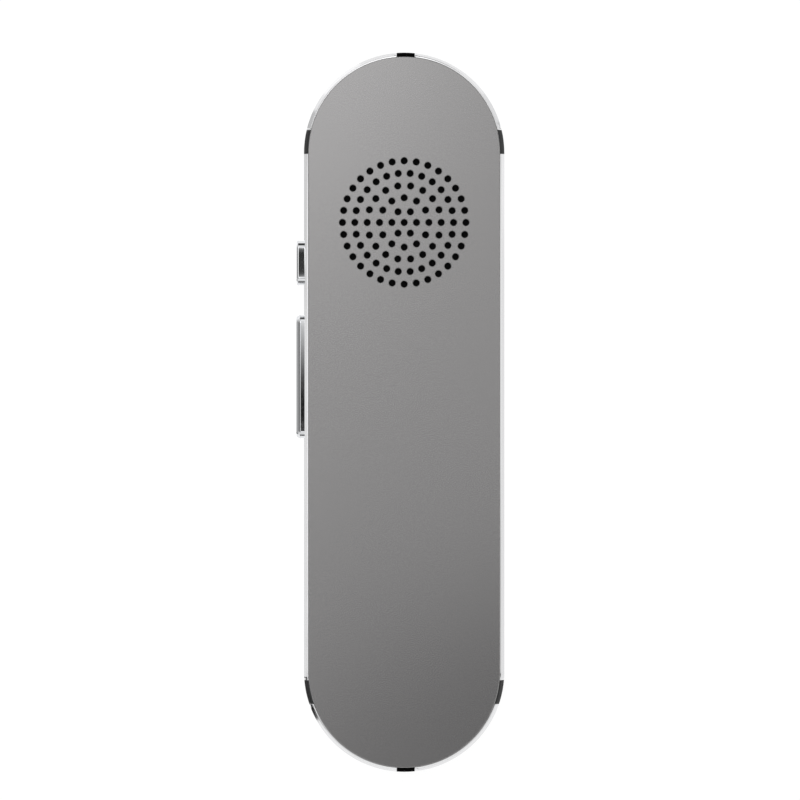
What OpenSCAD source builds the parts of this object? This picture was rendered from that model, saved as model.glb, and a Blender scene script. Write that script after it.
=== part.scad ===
// Handheld voice translator: a slim stick with round ends, built as a metal band between two
// flat covers, with a round loudspeaker grille and two side keys. All sizes are millimetres.
// +Z points out of the grille cover, +Y towards the grille end, and the keys are on the -X side.
// The origin is the centre of the back cover's outer face.

/* [Housing] */
// Width across the band
body_w = 39; // [38.5:0.25:42]
// Length over both round ends
body_l = 140; // [138:1:150]
// Thickness over both covers
body_t = 12; // [11.8:0.1:13]
// Thickness of each cover plate
cover_t = 1.2; // [1:0.05:1.3]
// Chamfer round each cover's outer edge
cover_chamfer = 0.12; // [0.05:0.01:0.25]
// Width of the band's rim that shows outside each cover
rim_w = 0.88; // [0.8:0.02:1.1]
// Depth of the rim below the cover's face
rim_drop = 0.15; // [0.05:0.05:0.3]
// Chamfer along the band's outer edges
rim_chamfer = 0.55; // [0.3:0.05:0.65]
// Gap round each cover's edge
cover_gap = 0.05; // [0.03:0.01:0.1]
// Thickness of the adhesive tape under each cover
tape_t = 0.15; // [0.1:0.05:0.2]
// Thickness of the band's wall
band_wall = 1.3; // [1.2:0.05:1.4]
// Reach of the band's cover ledges past its wall
ledge_reach = 1.5; // [1.3:0.1:1.6]
// Thickness of the cover ledges
ledge_t = 1.05; // [0.9:0.05:1.1]

/* [Band breaks] */
// Width of the breaks at the two ends
end_break_w = 3.5; // [3:0.1:5]
// Offset of the end breaks from the centre line
end_break_x = 0.3; // [0:0.1:0.5]
// Length of the four side breaks
side_break_l = 4.65; // [4:0.05:5.5]
// Height of the upper side breaks' lower edge above the arc centre
upper_break_rise = -0.25; // [-1:0.05:2]
// Depth of the lower side breaks' upper edge below the arc centre
lower_break_drop = 1.6; // [0:0.1:3]
// Length of the hidden tongue on each side of a break
break_tongue = 1; // [0.6:0.1:1.5]

/* [Grille] */
// Distance of the grille's centre from the grille end
grille_from_end = 33.1; // [32:0.1:34]
// Diameter of each sound hole
hole_d = 1.3; // [1:0.05:1.5]
// Chamfer at the mouth of each sound hole
hole_chamfer = 0.08; // [0.04:0.01:0.12]
// Step in radius from one ring of holes to the next
ring_pitch = 2.4; // [2.2:0.05:2.45]

/* [Side keys] */
// Height of both keys across the band
key_h = 4; // [3.4:0.1:4.2]
// Corner radius of the keys' outline
key_corner_r = 1.2; // [0.8:0.1:1.6]
// Rounding of the keys' outer edges
key_edge_r = 0.35; // [0.2:0.05:0.5]
// Gap between a key and its window
key_clear = 0.12; // [0.1:0.01:0.2]
// Thickness of the keys' inner flange
key_flange_t = 0.6; // [0.5:0.05:0.7]
// Overhang of the flange round a key
key_flange_w = 0.8; // [0.6:0.1:0.9]
// Length of the power key
power_key_l = 8.75; // [7.5:0.25:10]
// Distance of the power key's centre from the grille end
power_key_from_end = 41.1; // [40.5:0.1:42.5]
// Height of the power key above the band
power_key_proud = 1.4; // [1:0.1:1.6]
// Travel of the power key
power_travel = 0.25; // [0.15:0.05:0.3]
// Length of the talk key
talk_key_l = 23.8; // [21:0.2:25]
// Distance of the talk key's centre from the grille end
talk_key_from_end = 63.1; // [62:0.1:65]
// Height of the talk key above the band
talk_key_proud = 1.6; // [1.2:0.1:1.8]
// Tilt of the talk key each way, in degrees
talk_tilt = 1.5; // [1:0.1:1.6]
// Distance from the talk key's pivot to each switch
talk_arm = 7.5; // [7:0.1:8.5]
// Diameter of the talk key's pivot pin
pin_d = 1; // [0.8:0.1:1.1]

/* [Switches] */
// Length of a switch along the board
switch_l = 4.7; // [4:0.1:5]
// Depth of a switch across the board
switch_w = 2.4; // [2.2:0.1:2.6]
// Height of a switch above the board
switch_h = 3; // [2.8:0.1:3.2]
// Width of a switch plunger
plunger_w = 1.6; // [1.4:0.1:1.8]
// Height of a switch plunger
plunger_h = 1.2; // [1:0.1:1.4]

/* [Board and port] */
// Thickness of the main board
board_t = 1; // [0.8:0.05:1.05]
// Gap between the main board and the chassis wall
board_gap = 0.35; // [0.25:0.05:0.5]
// Width of the charging port's shell
usb_w = 8.94; // [8.5:0.02:9.2]
// Height of the charging port's shell
usb_h = 3.2; // [3.1:0.02:3.24]
// Length of the charging port's shell
usb_l = 7.35; // [6.8:0.05:8]
// Wall of the charging port's shell
usb_wall = 0.3; // [0.25:0.05:0.35]
// Width of the black bezel round the charging port
usb_bezel = 0.6; // [0.4:0.1:0.8]
// Diameter of the screws' threads
screw_d = 1.4; // [1.2:0.1:1.6]
// Diameter of the screws' heads
screw_head_d = 2.4; // [2.2:0.1:2.6]
// Thickness of the screws' heads
screw_head_t = 0.8; // [0.6:0.05:0.85]

/* [Chassis] */
// Thickness of the chassis wall
chassis_wall = 1.3; // [1.1:0.05:1.4]
// Gap between the chassis and the band
chassis_gap = 0.05; // [0.03:0.01:0.1]

/* [Battery] */
// Width of the battery cell
battery_w = 30; // [26:0.5:31]
// Thickness of the battery cell
battery_t = 5; // [4:0.1:5.5]
// Distance of the battery cell from the port end
battery_from_end = 16; // [15.5:0.1:17]
// Gap between the battery's circuit and the lower talk switch
battery_gap = 2.05; // [1.5:0.05:4]

/* [Loudspeaker] */
// Diameter of the loudspeaker
speaker_d = 28; // [27:0.1:28.5]
// Thickness of the foam gasket above the loudspeaker
gasket_t = 0.7; // [0.5:0.05:0.8]
// Thickness of the dust mesh behind the grille
mesh_t = 0.1; // [0.05:0.05:0.2]
// Travel of the loudspeaker cone each way
cone_travel = 0.25; // [0.1:0.05:0.3]

/* [Hidden] */
$fn = 64;

// Through-cut allowance, and the running gaps between pieces
cut = 1;
fit_gap = 0.01;
run_gap = 0.03;
press_gap = 0.02;

// Band and covers: radii are measured from the arc centres, heights from the back face
outer_r = body_w / 2;
arc_y = (body_l - body_w) / 2;
mid_z = body_t / 2;
rim_z = body_t - rim_drop;
cover_r = outer_r - rim_w;
lip_r = cover_r + cover_gap;
cover_z = body_t - cover_t;
ledge_z = cover_z - tape_t;
ledge_under_z = ledge_z - ledge_t;
wall_r = outer_r - band_wall;
ledge_r = wall_r - ledge_reach;
tape_edge = 0.2;

// Grille
grille_y = body_l / 2 - grille_from_end;
ring_counts = [1, 6, 12, 18, 26, 32];

// Chassis
chassis_r = wall_r - chassis_gap;
chassis_in_r = chassis_r - chassis_wall;
chassis_top_z = ledge_under_z - chassis_gap;
chassis_low_z = body_t - chassis_top_z;

// Main board: its top carries the port, whose centre is the band's
board_top_z = mid_z - usb_h / 2;
board_low_z = board_top_z - board_t;
board_standoff = 0.15;
floor_top_z = board_low_z - board_standoff;
board_r = chassis_in_r - board_gap;

// Keys: depths are measured inwards from the band's outer face
power_key_y = body_l / 2 - power_key_from_end;
talk_key_y = body_l / 2 - talk_key_from_end;
power_flange_gap = 0.05;
talk_flange_gap = (talk_key_l / 2 + key_flange_w) * sin(talk_tilt) + power_flange_gap;
pocket_gap = 0.2;
press_depth = outer_r - chassis_in_r + board_gap;
nose_r = 0.6;
nose_h = 1.6;
pivot_depth = press_depth;
pivot_wall = 0.6;
pivot_boss_d = pin_d + 2 * pivot_wall;
pivot_boss_h = 3;
flange_free = 0.15;
ear_gap = 0.1;
ear_wall = 1.1;
ear_back = 0.3;
ear_depth = pivot_depth + pivot_boss_d / 2 + ear_back;
ear_w = pin_d + 2 * ear_wall;
pin_r = pin_d / 2;
pin_end_gap = 0.1;

// Switches
switch_room = 0.9;
switch_depth = press_depth + switch_room;
plunger_collar = 0.3;
plunger_free = 0.25;
plunger_side = 0.05;
switch_lip = 0.25;
chamber_depth = 1.2;
switch_cover_t = 0.2;
switch_back_x = -outer_r + switch_depth + switch_w + switch_cover_t;
lower_switch_y = talk_key_y - talk_arm - switch_l / 2;

// Port and end fittings
usb_recess = 0.9;
usb_mouth_y = -body_l / 2 + usb_recess;
usb_gap = 0.1;
usb_back_t = 0.4;
usb_tongue_w = 6.6;
usb_tongue_t = 0.7;
usb_tongue_depth = 1.1;
usb_root_l = 0.8;
usb_contacts = 6;
usb_contact_pitch = 1;
usb_contact_w = 0.35;
usb_contact_l = 3;
usb_contact_t = 0.06;
usb_contact_in = 0.4;
mic_hole_d = 1;
mic_d = 3;
mic_l = 1.2;
mic_boot_w = 4.4;
mic_boot_l = 3.4;
mic_boot_h = 3.5;
mic_boot_y = arc_y + sqrt(pow(chassis_in_r, 2) - pow(mic_boot_w / 2 + end_break_x, 2)) - press_gap;
mic_depth = 0.8;
pipe_d = 1.2;
pipe_gap = 0.03;
pipe_rise = 2.6;
pipe_z = mid_z + pipe_rise;
pipe_inset = 0.1;
pipe_foot = 0.1;
status_light_from_end = 9;
status_light_y = body_l / 2 - status_light_from_end;
status_light_l = 1.6;
status_light_w = 1.2;
status_light_h = 0.7;

// Screws
screw_r = screw_d / 2;
screw_clear = 0.1;
board_hole_gap = 0.25;
boss_wall = 0.9;
boss_d = screw_d + 2 * boss_wall;
pilot_spare = 0.3;
slot_w = 0.3;
board_screw_l = 2.5;
bracket_screw_l = 3.5;
end_screw_in = 6.35;
end_screw_past = 7;
mid_screw_in = 4.85;
mid_screw_rise = 4.7;
port_screw_in = 7.35;
port_screw_past = 8;
board_screws_at = [
    for (side = [-1, 1]) each [
        [side * (chassis_in_r - end_screw_in), arc_y + end_screw_past],
        [side * (chassis_in_r - mid_screw_in), talk_key_y + talk_arm + mid_screw_rise],
        [side * (chassis_in_r - port_screw_in), -arc_y - port_screw_past]
    ]
];

// Loudspeaker: its heights hang from the cover
speaker_r = speaker_d / 2;
speaker_z = cover_z - mesh_t - gasket_t;
mesh_in = 0.5;
speaker_rim_t = 0.8;
bracket_gap = 0.15;
bracket_wall = 1.2;
bracket_seat_t = 0.8;
bracket_r = speaker_r + bracket_gap + bracket_wall;
bracket_z = speaker_z - speaker_rim_t - bracket_seat_t;
speaker_seat_w = 1;
gasket_w = 1.1;
bracket_lip = 0.2;
lug_r = 2;
lug_out = 1.55;
lug_angle = 41;
lug_from_centre = bracket_r + lug_out;
post_wall = 1;
post_d = screw_d + 2 * post_wall;
bracket_lugs = [
    for (a = [lug_angle, 180 - lug_angle, -lug_angle])
        [lug_from_centre * cos(a), grille_y + lug_from_centre * sin(a)]
];
yoke_room = 1.2;
yoke_r = 8;
yoke_wall = 0.7;
yoke_drop = 0.5;
yoke_z = board_top_z + yoke_room;
yoke_top_z = bracket_z - yoke_drop;
hub_h = 1;
hub_z = yoke_top_z - hub_h;
basket_wall = 0.6;
plate_t = 0.5;
coil_r = 6.65;
coil_t = 0.4;
coil_gap = 0.2;
coil_rise = 0.2;
plate_r = coil_r - coil_gap;
coil_top_z = bracket_z + coil_rise;
cone_t = 0.2;
cone_rise = 1.1;
cone_bend = 0.35;
dome_rise = 0.9;
surround_w = 0.9;
surround_out_r = speaker_r - speaker_seat_w - bracket_gap - basket_wall - run_gap;
surround_in_r = surround_out_r - surround_w;
terminal_r = speaker_r - 2 * speaker_seat_w;
terminal_t = 0.5;
terminal_w = 4.4;
window_gap = 0.8;

// Leads
lead_d = 0.6;
lead_pads_x = [-1.2, 1.2];
lead_pad_drop = 17;
lead_pad_y = grille_y - lead_pad_drop;
lead_pad_l = 2;
lead_pad_w = 1.3;
lead_pad_h = 0.2;
lead_on_pad = 0.6;
lead_on_terminal = 0.7;
lead_step = 1.1;
lead_exit_x = -6;
lead_handle = 4;
lead_bow = 2;

// Battery
battery_pad_t = 0.5;
battery_pad_in = 3;
battery_y = -body_l / 2 + battery_from_end;
battery_z = board_top_z + battery_pad_t;
circuit_l = 3;
circuit_in = 2;
circuit_low = 0.6;
battery_l = lower_switch_y - battery_gap - circuit_l - battery_y;
battery_top_y = battery_y + battery_l;
battery_corner = 1;
socket_x = 7;
socket_l = 4.2;
socket_w = 5;
socket_h = 2.6;
socket_wall = 0.5;
socket_room = 0.5;
socket_y = battery_top_y + circuit_l + socket_room + socket_w / 2;
window_margin = 2;

// Processor and its shield, which fills the board from the battery's socket to the speaker's pads
chip_gap = 1.7;
shield_low_y = socket_y + socket_w / 2 + chip_gap;
shield_top_y = lead_pad_y - lead_pad_l / 2 - chip_gap;
shield_w = 15;
shield_x = 2;
shield_h = 1.8;
shield_t = 0.2;
processor_l = 12;
processor_h = 1.1;

// Other chips, set out from the switches, the wall and the ends
chip_h = 0.9;
memory_w = 11;
memory_l = 13;
memory_x = switch_back_x + chip_gap + memory_w / 2;
memory_drop = 3;
radio_l = 8;
radio_rise = 4;
radio_in = 10;
codec_l = 5;
codec_drop = 7;
small_chip_l = 4;
small_chip_h = 0.8;
clock_in = 21;
clock_past = 4.5;
charger_past = 6.5;
capacitor_l = 1;
capacitor_w = 0.5;
capacitor_h = 0.5;
capacitor_pitch = 0.8;
capacitors = 6;

// Antenna
antenna_l = 9.5;
antenna_w = 3.2;
antenna_h = 3;
antenna_t = 0.2;
antenna_in = 3.3;
antenna_past = 2.6;
antenna_leg = 1.2;

// ---------- shared shapes ----------

// Sweeps a profile of [radius, height] round the stick's outline
module sweep_round() {
    for (end = [0, 1])
        mirror([0, end, 0]) translate([0, arc_y, 0]) rotate_extrude(angle = 180) children();
    for (side = [0, 1])
        mirror([side, 0, 0]) translate([0, arc_y, 0]) rotate([90, 0, 0]) linear_extrude(2 * arc_y)
            children();
}

// Solid of the stick's outline at one radius, between two heights
module round_slab(r, z_from, z_to) {
    sweep_round() translate([0, z_from]) square([r, z_to - z_from]);
}

// Ring between two radii and two heights
module round_ring(r_in, r_out, z_from, z_to) {
    sweep_round() translate([r_in, z_from]) square([r_out - r_in, z_to - z_from]);
}

// Box given by its lowest and highest corners
module box(low, high) {
    translate(low) cube(high - low);
}

// Rectangle with round corners, centred
module round_rect(l, w, r) {
    square([l - 2 * r, w], center = true);
    square([l, w - 2 * r], center = true);
    for (x = [-1, 1], y = [-1, 1]) translate([x * (l / 2 - r), y * (w / 2 - r)]) circle(r);
}

// Places children at the band's left face: +X inwards, +Y along, Z from mid-thickness
module at_left(y) {
    translate([-outer_r, y, mid_z]) children();
}

// Stands a flat shape up in the YZ plane and pushes it along +X
module push_in(depth) {
    rotate([90, 0, 90]) linear_extrude(depth) children();
}

// Tube of diameter d along a list of points, as one polyhedron with square ends.
// The direction across is one that the wire never runs along.
module wire(points, d, across, sides = 8) {
    last = len(points) - 1;
    rings = [for (i = [0 : last]) let (
        along = points[min(i + 1, last)] - points[max(i - 1, 0)],
        side = cross(along, across) / norm(cross(along, across)),
        up = cross(side, along) / norm(along)
    ) for (k = [0 : sides - 1]) let (a = 360 * k / sides)
        points[i] + d / 2 * (cos(a) * side + sin(a) * up)];
    skin = [for (i = [0 : last - 1], k = [0 : sides - 1]) let (next = (k + 1) % sides, row = i * sides)
        [row + k, row + sides + k, row + sides + next, row + next]];
    start = [for (k = [0 : sides - 1]) k];
    end = [for (k = [sides - 1 : -1 : 0]) last * sides + k];
    polyhedron(rings, concat([start], skin, [end]), convexity = 4);
}

// Points of a cubic curve between two ends, with a handle at each
function curve(a, a_handle, b_handle, b, steps = 12) = [
    for (i = [0 : steps]) let (t = i / steps)
        pow(1 - t, 3) * a + 3 * pow(1 - t, 2) * t * a_handle
            + 3 * (1 - t) * pow(t, 2) * b_handle + pow(t, 3) * b
];

// ---------- covers ----------

module cover_plate() {
    sweep_round() polygon([
        [0, cover_z], [cover_r, cover_z], [cover_r, body_t - cover_chamfer],
        [cover_r - cover_chamfer, body_t], [0, body_t]
    ]);
}

// Turns a front piece over onto the back
module onto_back() {
    translate([0, 0, body_t]) mirror([0, 0, 1]) children();
}

module sound_hole() {
    r = hole_d / 2;
    rotate_extrude() polygon([
        [0, -cut], [r, -cut], [r, cover_t - hole_chamfer],
        [r + hole_chamfer, cover_t], [r + hole_chamfer, cover_t + cut], [0, cover_t + cut]
    ]);
}

// Sound holes stand on rings round the grille's centre, each ring starting at +X
module grille_holes() {
    for (ring = [0 : len(ring_counts) - 1], i = [0 : ring_counts[ring] - 1])
        rotate([0, 0, 360 * i / ring_counts[ring]]) translate([ring * ring_pitch, 0, 0]) sound_hole();
}

module front_cover() {
    color("#8f8e8e") difference() {
        cover_plate();
        translate([0, grille_y, cover_z]) grille_holes();
    }
}

module back_cover() {
    color("#8f8e8e") onto_back() cover_plate();
}

module cover_tape() {
    color("#1c1c1e") round_ring(ledge_r + tape_edge, cover_r - tape_edge, ledge_z, cover_z);
}

// ---------- metal band and its breaks ----------

// Section of the band: a wall with a chamfered rim and a cover ledge at both edges
module band_section() {
    front = [
        [outer_r, rim_z - rim_chamfer], [outer_r - rim_chamfer, rim_z], [lip_r, rim_z],
        [lip_r, ledge_z], [ledge_r, ledge_z], [ledge_r, ledge_under_z], [wall_r, ledge_under_z]
    ];
    back = [for (i = [len(front) - 1 : -1 : 0]) [front[i][0], body_t - front[i][1]]];
    polygon(concat(front, back));
}

module band_ring() {
    sweep_round() band_section();
}

// Space of one break: a slot right through the band, with tongues hidden under the covers
module break_space(x_from, x_to, y_from, y_to, tongue_x, tongue_y) {
    box([x_from, y_from, -cut], [x_to, y_to, body_t + cut]);
    intersection() {
        box([x_from - tongue_x, y_from - tongue_y, -cut], [x_to + tongue_x, y_to + tongue_y, body_t + cut]);
        round_slab(cover_r, -cut, body_t + cut);
    }
}

module end_break_space(end) {
    reach = body_l / 2 + cut;
    break_space(end_break_x - end_break_w / 2, end_break_x + end_break_w / 2,
        end > 0 ? arc_y : -reach, end > 0 ? reach : -arc_y, break_tongue, 0);
}

upper_break_y = arc_y + upper_break_rise;
lower_break_y = -arc_y - lower_break_drop - side_break_l;

module side_break_space(side, y) {
    reach = outer_r + cut;
    inner = outer_r / 2;
    break_space(side > 0 ? inner : -reach, side > 0 ? reach : -inner,
        y, y + side_break_l, 0, break_tongue);
}

// Outline of the port's shell, grown by a margin, pushed through the port end of the band
module port_space(margin) {
    translate([0, -arc_y, mid_z]) rotate([90, 0, 0]) linear_extrude(outer_r + cut) port_outline(margin);
}

module break_spaces() {
    end_break_space(1);
    end_break_space(-1);
    port_space(usb_gap + usb_bezel);
    for (side = [-1, 1], y = [upper_break_y, lower_break_y]) side_break_space(side, y);
}

// Metal of the band inside a window of the plan
module band_segment(x_from, x_to, y_from, y_to) {
    difference() {
        intersection() {
            band_ring();
            box([x_from, y_from, -cut], [x_to, y_to, body_t + cut]);
        }
        break_spaces();
    }
}

upper_split_y = upper_break_y + side_break_l / 2;
lower_split_y = lower_break_y + side_break_l / 2;

module key_window(length, y) {
    at_left(y) translate([-cut, 0, 0]) push_in(band_wall + 2 * cut)
        round_rect(length + 2 * key_clear, key_h + 2 * key_clear, key_corner_r + key_clear);
}

module band_left() {
    color("#d9dadb") difference() {
        band_segment(-body_w, 0, lower_split_y, upper_split_y);
        key_window(power_key_l, power_key_y);
        key_window(talk_key_l, talk_key_y);
    }
}

module band_right() {
    color("#d9dadb") band_segment(0, body_w, lower_split_y, upper_split_y);
}

// Quarter of the band at one end: side is -1 or 1, and so is end
module band_corner(side, end) {
    x = [side < 0 ? -body_w : end_break_x, side < 0 ? end_break_x : body_w];
    y = end > 0 ? [upper_split_y, body_l] : [-body_l, lower_split_y];
    color("#d9dadb") band_segment(x[0], x[1], y[0], y[1]);
}

module break_insert() {
    color("#141415") intersection() {
        band_ring();
        children();
    }
}

module break_top() {
    difference() {
        break_insert() end_break_space(1);
        end_hole(mic_hole_d, mid_z);
        end_hole(pipe_d + 2 * pipe_gap, pipe_z);
    }
}

module break_bottom() {
    difference() {
        break_insert() {
            end_break_space(-1);
            port_space(usb_gap + usb_bezel);
        }
        port_space(usb_gap);
    }
}

// Round hole along +Y through the grille end, at one height
module end_hole(d, z) {
    translate([end_break_x, arc_y, z]) rotate([-90, 0, 0]) cylinder(d = d, h = outer_r + cut);
}

// ---------- chassis ----------

// Slot in the chassis wall that a key's flange moves in
module flange_pocket(length, y) {
    l = length / 2 + key_flange_w + pocket_gap;
    h = key_h / 2 + key_flange_w + pocket_gap;
    at_left(y) box([band_wall, -l, -h], [outer_r - chassis_in_r + fit_gap, l, h]);
}

// Two ears that hold the talk key's pin above and below its boss
module pivot_ears() {
    face = band_wall + talk_flange_gap + key_flange_t + flange_free;
    ear_z = pivot_boss_h / 2 + ear_gap;
    top = chassis_top_z - mid_z;
    pocket_top = key_h / 2 + key_flange_w + pocket_gap;
    at_left(talk_key_y) {
        box([face, -ear_w / 2, -top], [ear_depth, ear_w / 2, -ear_z]);
        box([face, -ear_w / 2, ear_z], [ear_depth, ear_w / 2, top]);
        box([band_wall + chassis_gap, -ear_w / 2, pocket_top], [ear_depth, ear_w / 2, top]);
    }
}

module screw_pilots(places, top_z, depth) {
    for (p = places) translate([p[0], p[1], top_z - depth])
        cylinder(r = screw_r + fit_gap, h = depth + cut);
}

// The tub: a wall, a floor with windows, bosses for the board and posts for the bracket
module chassis_tub() {
    boss_low_z = cover_t + tape_t;
    round_ring(chassis_in_r, chassis_r, chassis_low_z, chassis_top_z);
    difference() {
        round_slab(chassis_r, chassis_low_z, floor_top_z);
        floor_windows();
    }
    for (p = board_screws_at) translate([p[0], p[1], boss_low_z])
        cylinder(d = boss_d, h = board_low_z - boss_low_z);
    for (p = bracket_lugs) translate([p[0], p[1], chassis_low_z])
        cylinder(d = post_d, h = bracket_z - chassis_low_z);
}

module chassis() {
    color("#26272a") difference() {
        union() {
            difference() {
                chassis_tub();
                flange_pocket(power_key_l, power_key_y);
                flange_pocket(talk_key_l, talk_key_y);
            }
            pivot_ears();
        }
        screw_pilots(board_screws_at, board_low_z, board_screw_l - board_t + pilot_spare);
        screw_pilots(bracket_lugs, bracket_z, bracket_screw_l - bracket_seat_t + pilot_spare);
        at_left(talk_key_y) translate([pivot_depth, 0, board_low_z - mid_z])
            cylinder(r = pin_r + fit_gap, h = body_t);
        port_space(usb_gap);
        end_hole(mic_hole_d, mid_z);
        end_hole(pipe_d + 2 * pipe_gap, pipe_z);
    }
}

// Openings in the chassis floor under the battery and the loudspeaker
module floor_windows() {
    w = battery_w - 3 * window_margin;
    l = battery_l / 2 - 2 * window_margin;
    for (end = [-1, 1]) translate([0, battery_y + battery_l / 2 + end * (l / 2 + window_margin), 0])
        linear_extrude(mid_z) round_rect(w, l, window_margin);
    translate([0, grille_y, 0]) cylinder(r = speaker_r - 2 * window_margin, h = mid_z);
}

// ---------- side keys ----------

// Round post whose outer edge is rounded, along +Z from its face
module soft_post(r, edge, h) {
    translate([0, 0, edge]) cylinder(r = r, h = h - edge, $fn = 32);
    rotate_extrude($fn = 32) translate([r - edge, edge]) circle(edge, $fn = 32);
}

// Key that shows through the band: cap, flange, and the noses that press the switches
module side_key(length, proud, gap, noses) {
    flange = band_wall + gap;
    back = flange + key_flange_t;
    translate([-proud, 0, 0]) rotate([0, 90, 0]) hull()
        for (x = [-1, 1], y = [-1, 1])
            translate([x * (key_h / 2 - key_corner_r), y * (length / 2 - key_corner_r), 0])
                soft_post(key_corner_r, key_edge_r, proud + flange + fit_gap);
    translate([flange, 0, 0]) push_in(key_flange_t)
        round_rect(length + 2 * key_flange_w, key_h + 2 * key_flange_w, key_corner_r);
    for (y = noses) {
        side = nose_r - run_gap;
        box([back - fit_gap, y - side, -nose_h / 2], [press_depth - nose_r, y + side, nose_h / 2]);
        translate([press_depth - nose_r, y, -nose_h / 2]) cylinder(r = nose_r, h = nose_h);
    }
}

module power_key() {
    color("#b9babc") at_left(power_key_y)
        side_key(power_key_l, power_key_proud, power_flange_gap, [0]);
}

module talk_key() {
    back = band_wall + talk_flange_gap + key_flange_t - fit_gap;
    web = pivot_boss_d / 2 - run_gap;
    color("#b9babc") at_left(talk_key_y) difference() {
        union() {
            side_key(talk_key_l, talk_key_proud, talk_flange_gap, [-talk_arm, talk_arm]);
            box([back, -web, -pivot_boss_h / 2], [pivot_depth, web, pivot_boss_h / 2]);
            translate([pivot_depth, 0, -pivot_boss_h / 2]) cylinder(d = pivot_boss_d, h = pivot_boss_h);
        }
        translate([pivot_depth, 0, -mid_z]) cylinder(r = pin_r + run_gap, h = body_t);
    }
}

module talk_key_pin() {
    low = board_low_z + pin_end_gap;
    color("#c8c9cb") translate([pivot_depth - outer_r, talk_key_y, low])
        cylinder(r = pin_r, h = chassis_top_z - pin_end_gap - low);
}

// ---------- switches ----------

// Space in a switch body that its plunger slides in: a slot, then a wider chamber
module plunger_space(grow) {
    w = plunger_w / 2 + grow;
    h = plunger_h / 2 + grow;
    box([switch_depth - cut, -w, -h], [switch_depth + chamber_depth, w, h]);
    box([switch_depth + switch_lip, -w - plunger_collar, -h],
        [switch_depth + chamber_depth, w + plunger_collar, h]);
}

module side_switch(y) {
    color("#1d1d1f") at_left(y) difference() {
        box([switch_depth, -switch_l / 2, board_top_z - mid_z],
            [switch_depth + switch_w, switch_l / 2, board_top_z - mid_z + switch_h]);
        plunger_space(plunger_side);
    }
}

module plunger(y) {
    front = switch_depth + switch_lip + plunger_free;
    back = front + plunger_collar;
    w = plunger_w / 2;
    h = plunger_h / 2;
    color("#e8e6e0") at_left(y) {
        box([press_depth + press_gap, -w, -h], [back, w, h]);
        box([front, -w - plunger_collar, -h], [back, w + plunger_collar, h]);
    }
}

// Steel cover over the top and back of each switch
module switch_covers() {
    top = board_top_z + switch_h - mid_z;
    back = switch_depth + switch_w;
    l = switch_l / 2;
    corner = [back + switch_cover_t, l, top + switch_cover_t];
    color("#c2c4c6") for (y = [power_key_y, talk_key_y - talk_arm, talk_key_y + talk_arm]) at_left(y) {
        box([switch_depth, -l, top], corner);
        box([back, -l, board_top_z - mid_z], corner);
    }
}

// ---------- main board ----------

module screws(places, seat_z, length) {
    color("#7d7f83") for (p = places) translate([p[0], p[1], seat_z]) {
        translate([0, 0, -length]) cylinder(r = screw_r, h = length + fit_gap);
        difference() {
            cylinder(d = screw_head_d, h = screw_head_t);
            translate([0, 0, screw_head_t]) for (turn = [0, 90]) rotate([0, 0, turn])
                cube([screw_head_d * 2 / 3, slot_w, screw_head_t], center = true);
        }
    }
}

module board_screws() {
    screws(board_screws_at, board_top_z, board_screw_l);
}

module main_board() {
    gap = board_hole_gap;
    color("#1f4d33") difference() {
        round_slab(board_r, board_low_z, board_top_z);
        for (p = board_screws_at) translate([p[0], p[1], 0]) cylinder(r = screw_r + gap, h = body_t);
        for (p = bracket_lugs) translate([p[0], p[1], 0]) cylinder(d = post_d + 2 * gap, h = body_t);
        at_left(talk_key_y) box([0, -ear_w / 2 - gap, -mid_z], [ear_depth + gap, ear_w / 2 + gap, mid_z]);
    }
}

// Chip that lies on the board, with its centre and size
module chip(centre, size) {
    translate([centre[0] - size[0] / 2, centre[1] - size[1] / 2, board_top_z]) cube(size);
}

shield_at = [shield_x, (shield_low_y + shield_top_y) / 2];

module processor() {
    color("#18181a") chip(shield_at, [processor_l, processor_l, processor_h]);
}

module processor_shield() {
    outer = [shield_w, shield_top_y - shield_low_y, shield_h];
    wall = [2 * shield_t, 2 * shield_t, shield_t];
    color("#c4c6c8") difference() {
        chip(shield_at, outer);
        translate([0, 0, -fit_gap]) chip(shield_at, outer - wall);
    }
}

// Row of capacitors that runs along +X from a place on the board
module capacitor_row(from) {
    for (i = [0 : capacitors - 1])
        chip(from + [capacitor_pitch * i, 0], [capacitor_w, capacitor_l, capacitor_h]);
}

module board_chips() {
    small = [small_chip_l, small_chip_l, small_chip_h];
    color("#19191b") {
        chip([memory_x, grille_y - memory_drop], [memory_w, memory_l, chip_h]);
        chip([chassis_in_r - radio_in, grille_y + radio_rise], [radio_l, radio_l, chip_h]);
        chip([chassis_in_r - radio_in, grille_y - codec_drop], [codec_l, codec_l, chip_h]);
        chip([chassis_in_r - clock_in, arc_y + clock_past], small);
        chip([0, -arc_y - charger_past], small);
    }
    color("#b9a27a") {
        capacitor_row([memory_x - memory_w / 4, lead_pad_y]);
        capacitor_row([usb_w / 2 - capacitor_l, -arc_y - port_screw_past - capacitor_l]);
    }
    color("#c9b26a") for (x = lead_pads_x) chip([x, lead_pad_y], [lead_pad_w, lead_pad_l, lead_pad_h]);
}

// Stamped spring antenna that stands on two legs
module antenna() {
    low = [chassis_in_r - antenna_in - antenna_l, arc_y + antenna_past, board_top_z];
    color("#c9a85c") {
        translate(low + [0, 0, antenna_h - antenna_t]) cube([antenna_l, antenna_w, antenna_t]);
        for (x = [0, antenna_w]) translate(low + [x, 0, 0]) cube([antenna_leg, antenna_t, antenna_h]);
    }
}

// ---------- charging port ----------

module port_outline(margin) {
    w = usb_w + 2 * margin;
    h = usb_h + 2 * margin;
    round_rect(w, h, h / 2 - fit_gap);
}

// Pushes a flat shape inwards from the port's mouth
module from_mouth(depth, length) {
    translate([0, usb_mouth_y + depth + length, mid_z]) rotate([90, 0, 0])
        linear_extrude(length) children();
}

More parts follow.
